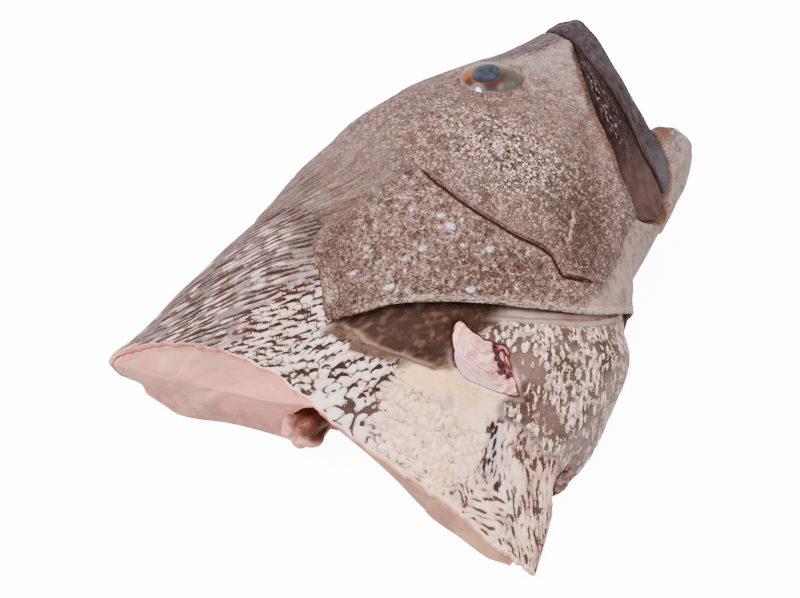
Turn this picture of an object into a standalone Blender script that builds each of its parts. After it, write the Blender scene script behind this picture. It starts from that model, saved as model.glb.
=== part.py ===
"""Grouper head with its collar, cut off behind the gill covers and lying on its left side.

The fish's own coordinates are millimetres: the station runs back from the snout tip, the
height runs up to the ridge of the back, and the side runs out to the fish's right.  Every
outer surface is a level above or below one lofted oval, so pieces that lie on each other
follow the same curve.  The script ends in metres, snout along +X, right side up.
"""
import bpy
import bmesh
import numpy as np
from mathutils import Matrix, Vector

MM = 0.001
GAP = 0.4                     # between neighbouring pieces
HEAD_LENGTH = 262.0           # snout tip to the rearmost point of the gill cover
SKIN = 2.8                    # skin and fascia left round the flesh
POCKET_FRONT = 222.0          # station where the flesh that the cut shows starts
POCKET_SHARES = (0.2, 0.4, 0.6, 0.8, 1.0)
GILL_LIFT = 4.2               # height of the gill cover's edge above the collar
GILL_TUCK = 6.0               # how far the gill slit runs forward under the cover
CHEEK_LIFT = 1.5              # cheek plate above the jaw skin
CHEEK_STEP = 2.4              # rear edge of the cheek plate above the gill cover
JAW_SEAT = 5.0                # depth of the seat for the lip and the upper jaw blade
LIP_WRAP = 4.0                # how far the lip stands in front of the mouth's rim
LIP_END = 158.0               # degrees down from the ridge where the lip ends
MAXILLA_FROM, MAXILLA_TO = 59.0, 166.0
JAW_WALL = 7.5                # thickness of the lower jaw's rim
CHIN_LIFT = 1.0               # roll of the lower lip
CAVITY_END = 112.0            # station where the mouth closes
SEAM = 131.0                  # station where the face ends and the gill covers' piece starts

# outline of the lofted oval: station, value
BACK = [(0, 0), (15, 6.5), (30, 12), (45, 17), (60, 22.5), (75, 29.5), (95, 39), (115, 47), (145, 54.5),
        (180, 58.5), (215, 62.5), (245, 74), (270, 85), (300, 97)]
BELLY = [(0, -77), (40, -81), (52, -86.5), (70, -91), (110, -94), (140, -96), (160, -102), (180, -111),
         (205, -118), (225, -119), (245, -117), (265, -114), (285, -117), (310, -122)]
HALF_WIDTH = [(0, 12), (15, 15), (36, 19.5), (58, 27), (80, 33), (105, 38), (135, 44), (165, 49),
              (195, 52), (225, 51), (245, 47), (265, 37), (285, 27), (310, 20)]
WIDEST_AT = [(0, 0.5), (100, 0.52), (200, 0.5), (260, 0.6), (300, 0.68)]   # share of the depth

# how it lies: from LIE_FROM to LIE_TO it rolls and sinks towards the cut
LIE_FROM, LIE_TO = 190.0, 300.0
ROLL_HEAD, ROLL_CUT = 14.0, 7.0        # degrees
AXIS_HEAD, AXIS_CUT = 50.0, 16.0       # height of the axis above the table

# lines over the surface: degrees down from the ridge of the back, station
LIP_FRONT = [(0, 2), (30, 5), (62, 17), (91, 37.4), (110, 58.4), (128, 71.9), (144, 78.5),
             (158, 86), (170, 98), (180, 104)]
LIP_REAR = [(0, 21), (30, 24), (50, 29), (62, 34), (86, 51.9), (109, 71.2), (134, 90.8), (150, 95), (160, 99)]
JAW_RIM = [(108, 60), (120, 68), (128, 64), (142, 52), (160, 47), (180, 45)]
CHEEK_FRONT = [(0, 22), (30, 25), (50, 31), (61, 37.4), (74, 52.7), (89, 72), (108, 94), (120, 106),
               (131, 117.5), (140, 123.8), (147, 126.5), (154, 123), (162, 116), (170, 110), (180, 109)]
CHEEK_REAR = [(0, 184), (60, 186), (75, 192.6), (84, 196.1), (92, 197.5), (102, 197.5), (110, 195.6),
              (113.5, 195.2), (117.5, 197.3), (121, 199.6), (124, 197.5), (127.5, 194.7), (132, 191.5),
              (142, 178), (150, 165), (165, 152), (180, 146)]
# the cheek plate's lower edge: station, degrees
CHEEK_LOW = [(126, 147.5), (140, 146.6), (155, 145.2), (175, 139), (186, 135.8), (200, 131)]
GILL_EDGE = [(0, 220), (45, 223), (56, 230.8), (61, 239.7), (69, 246.7), (78.5, 254.8), (84.5, 260.2),
             (88, HEAD_LENGTH), (92, 256.1), (95, 249.2), (99.6, 242.8), (104, 237.5), (113, 228.2),
             (121.5, 219.8), (136, 204.8), (152, 186.2), (165, 173), (180, 165)]
CUT_EDGE = [(0, 296), (15, 295.5), (28, 294), (40, 290.5), (61, 286.4), (79, 285.4), (89, 285.8), (97, 288.9),
            (109, 294.3), (124, 299), (139, 302), (152, 306), (167, 305), (180, 303)]
LEFT_SHORTER = [(0, 0), (25, 2), (50, 14), (90, 20), (110, 34), (140, 34), (158, 14), (170, 3), (180, 0)]

EYE_AT = (103.0, 62.5)        # station, degrees
EYE_LEVEL = -2.0
EYE_RADII = (17.0, 16.0, 9.0)
FIN_AT = (248.5, 121.5)
FIN_SIZE = (8.5, 13.0)        # half length of the cut fin root along the fish, half height in degrees
FIN_SLANT = 0.25              # millimetres back for each degree down
FIN_DEPTH = 7.0
PELVIC_AT = (258.0, 176.0)
PELVIC_RADII = (8.5, 4.0, 4.0)
PELVIC_NOTCH = 5.0
BACKBONE_RADIUS = 10.5
BACKBONE_AT = (3.0, 15.5)      # height and distance above the table
BACKBONE_WAIST = [(232, 0.6), (246, 0.8), (258, 0.72), (272, 0.98), (283, 1.0), (288, 0.8), (290, 0.4)]
FACE_WAVE = 2.0               # unevenness of the flesh's cut face
FLESH_LEFT = [(-104, 277), (-90, 279), (-75, 282), (-60, 288), (-40, 290), (-15, 294), (0, 295.5)]
FLESH_SWELL = 4.0             # how far the flesh bulges past the shorter skin on the lower side
BELLY_THICK = [(100, 3), (112, 4), (120, 8), (127, 14), (133, 17), (140, 15), (150, 10), (158, 5), (165, 3)]

SIDE_COLUMNS = 27             # grid columns from the ridge to the belly on each side


def curve(points, x):
    """Smooth curve through the points that never overshoots them."""
    px, py = np.array(points, float).T
    slope = np.diff(py) / np.diff(px)
    product = slope[:-1] * slope[1:]
    total = np.where(product > 0, slope[:-1] + slope[1:], 1.0)
    tangent = np.concatenate(([slope[0]], np.where(product > 0, 2 * product / total, 0.0), [slope[-1]]))
    x = np.clip(x, px[0], px[-1])
    k = np.clip(np.searchsorted(px, x, side="right") - 1, 0, len(px) - 2)
    step = px[k + 1] - px[k]
    t = (x - px[k]) / step
    return ((2 * t**3 - 3 * t**2 + 1) * py[k] + (t**3 - 2 * t**2 + t) * step * tangent[k]
            + (3 * t**2 - 2 * t**3) * py[k + 1] + (t**3 - t**2) * step * tangent[k + 1])


def ease(start, end, x):
    t = np.clip((x - start) / (end - start), 0.0, 1.0)
    return t * t * (3 - 2 * t)


def mix(a, b, t):
    return a + (b - a) * t


def section(station, degrees):
    """Height and side of the oval at a station, degrees down from the ridge (left is negative)."""
    top, bottom = curve(BACK, station), curve(BELLY, station)
    middle = bottom + curve(WIDEST_AT, station) * (top - bottom)
    angle = np.radians(degrees)
    rise, out = np.cos(angle), np.sin(angle)
    height = middle + np.where(rise > 0, top - middle, middle - bottom) * rise
    return height, curve(HALF_WIDTH, station) * np.sign(out) * np.abs(out) ** 0.9


def lay(station, height, side):
    """Fish coordinates to the lying piece, still in millimetres."""
    t = ease(LIE_FROM, LIE_TO, station)
    roll = np.radians(mix(ROLL_HEAD, ROLL_CUT, t))
    return np.stack([-station, height * np.cos(roll) - side * np.sin(roll),
                     mix(AXIS_HEAD, AXIS_CUT, t) + height * np.sin(roll) + side * np.cos(roll)], -1)


def on_oval(station, degrees):
    return lay(station, *section(station, degrees))


def free_skin(station, degrees, level):
    """Point at a level outside the oval, before the table flattens it."""
    station, degrees, level = np.broadcast_arrays(*(np.asarray(v, float) for v in (station, degrees, level)))
    step = 0.05
    back = on_oval(station + step, degrees) - on_oval(station - step, degrees)
    down = on_oval(station, degrees + step) - on_oval(station, degrees - step)
    out = np.cross(back, down)
    out /= np.linalg.norm(out, axis=-1, keepdims=True) + 1e-12
    return on_oval(station, degrees) + out * level[..., None]


def skin(station, degrees, level=0.0, floor=0.0):
    point = free_skin(station, degrees, level)
    point[..., 2] = np.maximum(point[..., 2], floor)
    return point


def off_table(station, degrees):
    """1 where the oval is clear of the table, 0 where it is pressed flat."""
    return ease(1.0, 9.0, free_skin(station, degrees, 0.0)[..., 2])


def relief(station, degrees):
    """Level of the smooth forms: cheek plate, eye bulge, collar and belly."""
    down = np.abs(degrees)
    on_cheek = ease(2, -2, down - curve(CHEEK_LOW, station)) * ease(202, 190, station)
    level = CHEEK_LIFT * on_cheek * ease(20, 60, down)
    eye = np.hypot(station - EYE_AT[0], (down - EYE_AT[1]) * 0.72)
    level = level + 1.0 * np.exp(-(eye / 19.0) ** 2)
    behind = station - curve(GILL_EDGE, down)
    covered = ease(48, 60, down) * off_table(station, degrees)
    level = level - GILL_LIFT * covered * ease(-14, -2, behind) * ease(26, 4, behind)
    notch = np.hypot((station - PELVIC_AT[0]) / 9.0, (down - 180.0) / 16.0)
    return level - PELVIC_NOTCH * np.exp(-notch ** 2)


def cut_edge(degrees):
    down = np.abs(degrees)
    return curve(CUT_EDGE, down) - np.where(degrees < 0, curve(LEFT_SHORTER, down), 0.0)


def head_columns():
    """Degrees of the grid's columns, closer together where the plates' edges are."""
    spread = np.linspace(0, 180, 721)
    density = 1.0 + 1.3 * np.exp(-((spread - 104) / 38.0) ** 2)
    share = np.concatenate(([0], np.cumsum((density[1:] + density[:-1]) / 2)))
    half = np.interp(np.linspace(0, share[-1], SIDE_COLUMNS), share, spread)
    return np.concatenate((half, -half[-2:0:-1]))


def seat_depth(down):
    """The seat of the lip is shallower over the narrow snout."""
    return JAW_SEAT * mix(0.5, 1.0, ease(10, 50, down))


def rim_line(down):
    """Station of the mouth's rim: under the lip above, on the jaw below."""
    return mix(curve(LIP_FRONT, down) + LIP_WRAP, curve(JAW_RIM, down), ease(108, 120, down))


def head_rings(degrees):
    """Rings of the face and of the piece behind it, as stations and levels, from mouth to pocket."""
    down = np.abs(degrees)
    rim = rim_line(down)
    seat_front = np.maximum(curve(LIP_FRONT, down) - GAP, rim + 2.6)
    seated = ease(172, 165, down)
    seat = -seat_depth(down) * seated
    bare = ease(4.5, 10.0, curve(LIP_FRONT, down) - rim)
    wall = mix(0.8 * seat_depth(down), JAW_WALL, bare)
    cheek, rear, gill = curve(CHEEK_FRONT, down), curve(CHEEK_REAR, down), curve(GILL_EDGE, down)
    rings = []

    def ring(station, level):
        rings.append((station + 0.0 * down, level + 0.0 * down))

    def fold(line, steps, depth, start, end):
        """Rings over an edge: (station flat, station folded, share of the drop) for each."""
        for flat, folded, share in steps:
            ring(line + mix(flat, folded, depth ** 2), mix(start, end, share))

    def band(start, end, shares):
        for share in shares:
            ring(mix(start, end, share), relief(mix(start, end, share), degrees))

    # rim of the mouth, rounded on the jaw and square under the lip
    front = mix(seat, 0.0, bare)
    chin = CHIN_LIFT * bare
    for back, share in ((0.6, 1.0), (-1.6 * bare, 0.72), (-2.0 * bare, 0.35), (0.4, 0.02)):
        ring(rim + back, front - share * wall)
    for share in (0.35, 0.7):
        ring(mix(rim + 0.8, seat_front - 0.5, share), mix(seat, chin, bare))
    ring(seat_front - 0.5, mix(seat, 0.4 * chin, bare))
    # seat of the lip and the upper jaw blade, then the cheek's front edge over it
    ring(seat_front, seat)
    for share in (0.25, 0.5, 0.75):
        ring(mix(seat_front, cheek - 2.0, share), seat)
    edge = relief(cheek + 1.0, degrees)
    fold(cheek, ((-2.0, 1.5, 0.0), (-1.5, 1.2, 0.45), (-1.0, 0.2, 0.75), (-0.5, -0.3, 0.87),
                 (0.2, 0.0, 0.97), (1.0, 1.0, 1.0)), seated, seat, edge)
    # cheek plate up to the seam
    band(cheek + 1.0, SEAM, np.linspace(0, 1, 6)[1:])
    face = len(rings)
    # cheek plate from the seam on, then its rear edge over the gill cover
    band(SEAM + GAP, rear - 3.0, np.linspace(0, 1, 7))
    on_rear = ease(67, 77, down) * ease(137, 130, down) * off_table(rear, degrees)
    plate = relief(rear - 3.0, degrees)
    low = plate - CHEEK_STEP * on_rear
    fold(rear, ((-1.2, -0.9, 0.0), (-0.4, -0.1, 0.2), (0.4, -0.3, 0.45), (1.2, -1.6, 0.6),
                (2.0, -1.5, 0.95), (3.0, 1.0, 1.0)), on_rear, plate, low)
    # gill cover, its edge, the slit under it and the collar behind
    on_gill = ease(50, 60, down) * off_table(gill, degrees)
    lid = -0.4 * on_rear + 0.6 * on_gill
    for share in (0.2, 0.4, 0.6, 0.8, 1.0):
        ring(mix(rear + 3.5, gill - 9.0, share), mix(low, lid, ease(0.0, 1.0, share)))
    under = -GILL_LIFT * on_gill
    fold(gill, ((-4.0, -4.0, 0.0), (-1.6, -1.2, 0.02), (-0.6, 0.0, 0.2), (0.4, -1.0, 0.38),
                (1.2, -GILL_TUCK, 0.46), (2.0, -GILL_TUCK - 0.3, 1.06), (2.8, -2.0, 1.0)),
         on_gill, lid, under)
    cut = cut_edge(degrees)
    band(gill + 3.6, cut - 1.0, np.linspace(0, 1, 9))
    # cut edge and the pocket for the flesh
    ring(cut, relief(cut, degrees) - 0.8)
    ring(cut, relief(cut, degrees) - SKIN)
    for share in POCKET_SHARES:
        station = mix(cut, POCKET_FRONT, share)
        ring(station, pocket_level(station, degrees))
    return rings[:face], rings[face:]


def pocket_level(station, degrees):
    """Level of the pocket's wall: SKIN inside the surface, and clear of the gill slit."""
    down = np.abs(degrees)
    behind = station - curve(GILL_EDGE, down)
    under_slit = ease(18, 8, behind) * ease(38, 54, down)
    return relief(station, degrees) * (1 - under_slit) - SKIN - (GILL_LIFT + 2.0) * under_slit


def mouth_rings(degrees):
    """Rings of the mouth cavity as points, from its end to the rim."""
    rings = []
    for share in (0.95, 0.8, 0.6, 0.4, 0.2):
        station = mix(rim_line(np.abs(degrees)) + 2.0, CAVITY_END, share)
        narrow = mix(0.70, 0.25, share ** 1.5)
        height, side = section(station, degrees)
        rings.append(lay(station, mix(mix(-36.0, -42.0, share), height, narrow), side * narrow))
    return rings


def add_object(name, vertices, faces, colour, roughness, group=None):
    """A closed solid from points in millimetres, its faces turned outwards."""
    first, second, third = (np.array([vertices[face[k]] for face in faces]) - vertices[0] for k in range(3))
    if np.sum(first * np.cross(second, third)) < 0:
        faces = [face[::-1] for face in faces]
    mesh = bpy.data.meshes.new(name)
    mesh.from_pydata([tuple(v) for v in vertices], [], [tuple(int(i) for i in f) for f in faces])
    work = bmesh.new()
    work.from_mesh(mesh)
    bmesh.ops.triangulate(work, faces=work.faces)
    work.to_mesh(mesh)
    work.free()
    thing = bpy.data.objects.new(name, mesh)
    (group or PARTS).objects.link(thing)
    material = bpy.data.materials.new(name)
    material.use_nodes = True
    shader = material.node_tree.nodes["Principled BSDF"]
    shader.inputs["Base Color"].default_value = (*colour, 1.0)
    shader.inputs["Roughness"].default_value = roughness
    mesh.materials.append(material)
    return thing


def closed_loft(rings, flat_ends=False):
    """Vertices and faces of joined rings, the ends closed by fans or, on slabs, by ladders."""
    count = len(rings[0])
    points = np.concatenate(rings)
    faces = []
    for r in range(len(rings) - 1):
        for c in range(count):
            a, b = r * count + c, r * count + (c + 1) % count
            faces.append((a, a + count, b + count, b))
    for ring, order in ((0, 1), (len(rings) - 1, -1)):
        first = ring * count
        if flat_ends:
            last = first + count - 1
            rungs = [(first + k, first + k + 1, last - 1 - k, last - k) for k in range(count // 2 - 1)]
            faces += [rung[::order] for rung in rungs]
            continue
        points = np.vstack([points, rings[ring].mean(axis=0)])
        for c in range(count):
            pair = (first + c, first + (c + 1) % count)
            faces.append((len(points) - 1, *pair[::order]))
    return points, faces


def cut_away(thing, cutter):
    cutter.hide_render = True
    cutter.display_type = "WIRE"
    cut = thing.modifiers.new("clear of " + cutter.name, "BOOLEAN")
    cut.operation = "DIFFERENCE"
    cut.object = cutter


def make_head():
    """The face round the mouth, and the piece behind it with the gill covers, the collar and the pocket."""
    degrees = head_columns()
    face, rear = head_rings(degrees)
    front = mouth_rings(degrees) + [skin(station, degrees, level) for station, level in face]
    inner = len(rear) - len(POCKET_SHARES) - 1
    back = [skin(station, degrees, level, SKIN if number >= inner else 0.0)
            for number, (station, level) in enumerate(rear)]
    return [add_object(name, *closed_loft(points), (0.30, 0.24, 0.22), 0.45)
            for name, points in (("face_and_jaws", front), ("gill_covers_and_collar", back))]


def make_upper_lip():
    """The lip: a horseshoe over the mouth's rim, its ends lying on the jaw's sides."""
    columns = head_columns()
    columns = np.sort(columns[np.abs(columns) < LIP_END])
    rings = []
    for degrees in columns:
        down = abs(degrees)
        lip = curve(LIP_FRONT, down)
        rear = min(curve(LIP_REAR, down) - 0.3, curve(CHEEK_FRONT, down) - 0.9)
        wrap = ease(106, 100, down)
        seat = GAP - seat_depth(down)
        depth = mix(-seat, 1.6 * seat_depth(down), wrap)
        outline = [(lip + mix(2.2, LIP_WRAP - GAP, wrap), -depth), (lip + 1.2, -depth),
                   (lip + 0.2, -0.75 * depth), (lip, -0.4 * depth), (lip + 0.6, -0.2), (lip + 2.2, 1.0),
                   (mix(lip, rear, 0.45), 1.6), (mix(lip, rear, 0.78), 1.1), (rear - 0.8, 0.0),
                   (rear, -1.2), (rear, seat)]
        outline += [(mix(rear, lip + LIP_WRAP, share), seat) for share in (0.33, 0.66, 1.0)]
        station, level = np.array(outline, float).T
        keep = mix(0.3, 1.0, ease(LIP_END, LIP_END - 16, down))
        station = mix(mix(lip, rear, 0.5), station, keep)
        level = mix(-2.0, level, keep)
        rings.append(skin(station, degrees, level, 0.5))
    return add_object("upper_lip", *closed_loft(rings), (0.12, 0.09, 0.10), 0.3)


def make_maxilla(name, side):
    """The blade of the upper jaw behind the lip, widest at its rounded lower end."""
    columns = head_columns()
    down_columns = np.sort(columns[(columns > MAXILLA_FROM) & (columns < MAXILLA_TO)])
    rings = []
    for down in down_columns:
        front, rear = curve(LIP_REAR, down) + 0.3, curve(CHEEK_FRONT, down) - 0.8
        seat = GAP - JAW_SEAT
        outline = [(0.0, seat), (0.33, seat), (0.66, seat), (1.0, seat), (1.0, -2.4), (0.93, -1.1),
                   (0.7, 0.2), (0.4, 0.9), (0.12, 0.4), (0.0, -0.9)]
        share, level = np.array(outline, float).T
        whole = ease(MAXILLA_TO, MAXILLA_TO - 12, down) * ease(MAXILLA_FROM, MAXILLA_FROM + 6, down)
        keep = mix(0.35, 1.0, whole)
        station = mix(front, rear, mix(0.5, share, keep))
        rings.append(skin(station, side * down, mix(-2.5, level, keep), 0.5))
    if side > 0:
        rings = rings[::-1]
    return add_object(name, *closed_loft(rings), (0.16, 0.10, 0.09), 0.35)


def make_ball(name, centre, out, along, radii, colour, roughness, group=None, segments=20):
    """A ball with its three radii set along two directions and square to both."""
    out = Vector(out).normalized()
    along = (Vector(along) - out * Vector(along).dot(out)).normalized()
    turn = Matrix((along, out.cross(along), out)).transposed().to_4x4()
    bpy.ops.mesh.primitive_uv_sphere_add(segments=segments, ring_count=segments // 2, radius=1.0)
    thing = bpy.context.active_object
    thing.name = thing.data.name = name
    for group_in in list(thing.users_collection):
        group_in.objects.unlink(thing)
    (group or PARTS).objects.link(thing)
    thing.data.transform(Matrix.Translation(Vector(centre)) @ turn @ Matrix.Diagonal((*radii, 1.0)))
    material = bpy.data.materials.new(name)
    material.use_nodes = True
    shader = material.node_tree.nodes["Principled BSDF"]
    shader.inputs["Base Color"].default_value = (*colour, 1.0)
    shader.inputs["Roughness"].default_value = roughness
    thing.data.materials.append(material)
    return thing


def surface_ball(name, place, level, radii, colour, roughness, head):
    """A ball sunk in the surface, and the socket that the head has for it."""
    station, degrees = place
    centre = free_skin(station, degrees, level)
    out = free_skin(station, degrees, level + 1.0) - centre
    along = free_skin(station - 1.0, degrees, level) - centre
    ball = make_ball(name, centre, out, along, radii, colour, roughness)
    grown = [radius + GAP for radius in radii]
    cut_away(head, make_ball("socket_" + name, centre, out, along, grown, colour, roughness, CUTTERS))
    return ball


def make_fin_stump(name, side, head):
    """Cut root of a side fin, filling a leaf-shaped hole, and the hole itself."""
    angles = np.radians(np.arange(0, 360, 15))

    def ring(reach, level, floor):
        along = FIN_SIZE[0] * reach * np.cos(angles)
        down = FIN_SIZE[1] * reach * np.sign(np.sin(angles)) * np.abs(np.sin(angles)) ** 1.2
        station = FIN_AT[0] + along + FIN_SLANT * down
        degrees = side * (FIN_AT[1] + down)
        over = relief(station, degrees)
        return skin(station, degrees, over + level, floor)

    def solid(grow, lift, depth):
        outer = [ring(reach * grow, level + lift, 0.0 if lift == 0 else -lift)
                 for reach, level in ((0.3, 1.0), (0.6, 0.9), (0.85, 0.3), (1.0, -0.8))]
        inner = [ring(reach * grow, -depth, depth) for reach in (0.96, 0.5)]
        rings = outer + inner
        return closed_loft(rings if side < 0 else [r[::-1] for r in rings])

    stump = add_object(name, *solid(1.0, 0.0, FIN_DEPTH), (0.62, 0.38, 0.36), 0.3)
    hole = add_object("hole_" + name, *solid(1.06, 3.0, FIN_DEPTH + GAP), (0.62, 0.38, 0.36), 0.3, CUTTERS)
    cut_away(head, hole)
    return hole


def skin_below(station, degrees):
    """Height that the lower side's skin and its gap take up under a point of the upper side."""
    return mix(GAP, SKIN + GAP, ease(4.0, -3.0, station - cut_edge(-np.abs(degrees))))


def make_flesh():
    """Back muscle in the pocket, from POCKET_FRONT to the cut, open towards the belly."""
    columns = head_columns()
    wall = np.sort(columns[(columns > -92) & (columns < 100)])
    rear = np.where(wall > 0, cut_edge(wall) - GAP, curve(FLESH_LEFT, wall))
    rings = []
    inside = mix(cut_edge(wall), POCKET_FRONT, 0.02)
    stations = [mix(cut_edge(wall), POCKET_FRONT, share) for share in (0.95, 0.8, 0.6, 0.4, 0.2)] + [inside]
    for station in stations + [mix(inside, rear, share) for share in (0.12, 0.35, 0.7, 1.0)]:
        past = ease(3.0, 9.0, station - cut_edge(wall)) * (wall < 0)
        level = mix(pocket_level(station, wall) - 1.5 * GAP, FLESH_SWELL, past)
        outer = skin(station, wall, level)
        outer[:, 2] = np.maximum(outer[:, 2], mix(SKIN + GAP, GAP, ease(2.5, 6.5, station - cut_edge(wall))))
        across = np.linspace(0, 1, 9)[1:-1, None]
        hollow = np.array([0.0, 1.0, 0.0]) * 6.0 * np.sin(np.pi * across)
        rings.append(np.vstack([outer, mix(outer[-1], outer[0], across) + hollow]))
    rim = rings[-1]
    middle = rim.mean(axis=0)
    for reach in (0.88, 0.66, 0.42, 0.2):
        face = middle + reach * (rim - middle)
        face[:, 0] += FACE_WAVE * np.sin(face[:, 1] / 9.0) * np.cos(face[:, 2] / 11.0) * (1 - reach)
        rings.append(face)
    return add_object("flesh", *closed_loft(rings), (0.80, 0.60, 0.56), 0.35)


def make_backbone(flesh):
    """Cut end of the backbone at the flesh's lower edge, and the groove that it lies in."""
    angles = np.radians(np.arange(0, 360, 20))

    def solid(grow, longer):
        rings = []
        for station, share in BACKBONE_WAIST:
            reach = BACKBONE_RADIUS * share * (1 + 0.10 * np.sin(3 * angles + station / 9.0)) + grow
            end = station + longer * np.sign(station - 260)
            rings.append(np.stack([0 * angles - end, BACKBONE_AT[0] + reach * np.cos(angles),
                                   BACKBONE_AT[1] + reach * np.sin(angles)], -1))
        return closed_loft(rings)

    bone = add_object("backbone", *solid(0.0, 0.0), (0.55, 0.33, 0.30), 0.4)
    groove = add_object("groove_backbone", *solid(GAP, GAP), (0.55, 0.33, 0.30), 0.4, CUTTERS)
    cut_away(flesh, groove)
    return bone


def make_belly_wall():
    """Thick lower body wall on the upper side, a slab on the inside of the skin."""
    columns = head_columns()
    columns = np.sort(columns[(columns > 101) & (columns < 160)])
    shares = np.array([0.0, 0.2, 0.4, 0.6, 0.8])
    rings = []
    for degrees in columns:
        stations = mix(cut_edge(degrees) - GAP / 2, POCKET_FRONT, shares)
        thick = curve(BELLY_THICK, degrees) * mix(1.0, 0.6, shares / shares[-1])
        level = pocket_level(stations, degrees) - 1.5 * GAP
        outer = skin(stations, degrees, level)
        inner = skin(stations, degrees, level - thick)
        low = skin_below(stations, degrees)
        inner[:, 2] = np.maximum(inner[:, 2], low)
        outer[:, 2] = np.maximum(outer[:, 2], low + 2 * GAP)
        rings.append(np.vstack([outer, inner[::-1]]))
    return add_object("belly_wall", *closed_loft(rings, flat_ends=True), (0.72, 0.50, 0.42), 0.4)


for old in list(bpy.data.objects):
    bpy.data.objects.remove(old, do_unlink=True)
PARTS = bpy.data.collections.new("grouper_head")
CUTTERS = bpy.data.collections.new("cutters")
for group in (PARTS, CUTTERS):
    bpy.context.scene.collection.children.link(group)

FACE, REAR = make_head()
FIN_HOLES = []
make_upper_lip()
for SIDE, TAG in ((1, "right"), (-1, "left")):
    make_maxilla("maxilla_" + TAG, SIDE)
    PLACE = (EYE_AT[0], SIDE * EYE_AT[1])
    surface_ball("eye_" + TAG, PLACE, EYE_LEVEL, EYE_RADII, (0.10, 0.12, 0.15), 0.1, FACE)
    FIN_HOLES.append(make_fin_stump("fin_stump_" + TAG, SIDE, REAR))
surface_ball("pelvic_stump", PELVIC_AT, -3.0, PELVIC_RADII, (0.30, 0.08, 0.06), 0.35, REAR)
make_backbone(make_flesh())
cut_away(make_belly_wall(), FIN_HOLES[0])

# the finished pieces in metres, standing on the origin at the middle of their box
bpy.context.view_layer.update()
CORNERS = np.array([tuple(corner) for thing in PARTS.objects for corner in thing.bound_box])
LOW, HIGH = CORNERS.min(axis=0), CORNERS.max(axis=0)
CENTRED = ((LOW[0] + HIGH[0]) / 2, (LOW[1] + HIGH[1]) / 2, LOW[2])
for thing in list(PARTS.objects) + list(CUTTERS.objects):
    thing.data.transform(Matrix.Scale(MM, 4) @ Matrix.Translation(-Vector(CENTRED)))
    thing.data.shade_smooth()
    thing.data.set_sharp_from_angle(angle=np.radians(50))
print("box in mm", LOW.round(1), HIGH.round(1), "centred on", np.round(CENTRED, 2))
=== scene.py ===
import math
import bpy
import numpy as np
from mathutils import Matrix, Vector


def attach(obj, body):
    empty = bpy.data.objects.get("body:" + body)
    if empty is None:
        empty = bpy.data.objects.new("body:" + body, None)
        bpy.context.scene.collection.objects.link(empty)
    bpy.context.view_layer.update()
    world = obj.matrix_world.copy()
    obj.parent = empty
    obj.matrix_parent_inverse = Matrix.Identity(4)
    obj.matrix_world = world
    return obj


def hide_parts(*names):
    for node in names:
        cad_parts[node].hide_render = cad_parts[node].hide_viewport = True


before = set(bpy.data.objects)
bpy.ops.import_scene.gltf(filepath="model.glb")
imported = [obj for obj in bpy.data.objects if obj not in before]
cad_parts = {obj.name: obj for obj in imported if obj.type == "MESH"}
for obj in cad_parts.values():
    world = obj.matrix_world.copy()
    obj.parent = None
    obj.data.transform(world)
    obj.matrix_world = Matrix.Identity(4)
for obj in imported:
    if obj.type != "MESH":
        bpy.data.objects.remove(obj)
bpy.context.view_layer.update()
studioLight = 3.0  # how much brighter than a white card the studio's light makes one

# The fish's own measures are in millimetres: station back from the snout tip, degrees down from
# the ridge of the back (left side negative), level above the lofted oval.
fish = {
    "back": [(0, 0), (15, 6.5), (30, 12), (45, 17), (60, 22.5), (75, 29.5), (95, 39), (115, 47), (145, 54.5),
             (180, 58.5), (215, 62.5), (245, 74), (270, 85), (300, 97)],
    "belly": [(0, -77), (40, -81), (52, -86.5), (70, -91), (110, -94), (140, -96), (160, -102), (180, -111),
              (205, -118), (225, -119), (245, -117), (265, -114), (285, -117), (310, -122)],
    "halfWidth": [(0, 12), (15, 15), (36, 19.5), (58, 27), (80, 33), (105, 38), (135, 44), (165, 49),
                  (195, 52), (225, 51), (245, 47), (265, 37), (285, 27), (310, 20)],
    "widestAt": [(0, 0.5), (100, 0.52), (200, 0.5), (260, 0.6), (300, 0.68)],
    "lie": (190.0, 300.0), "roll": (14.0, 7.0), "axis": (50.0, 16.0),
    "centre": (-154.29, -12.58, 0.0),
    "gap": 0.4, "skin": 2.8, "pocketFront": 222.0, "seat": 5.0,
    "eye": (103.0, 62.5), "bellyDent": (258.0, 180.0),
}

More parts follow.
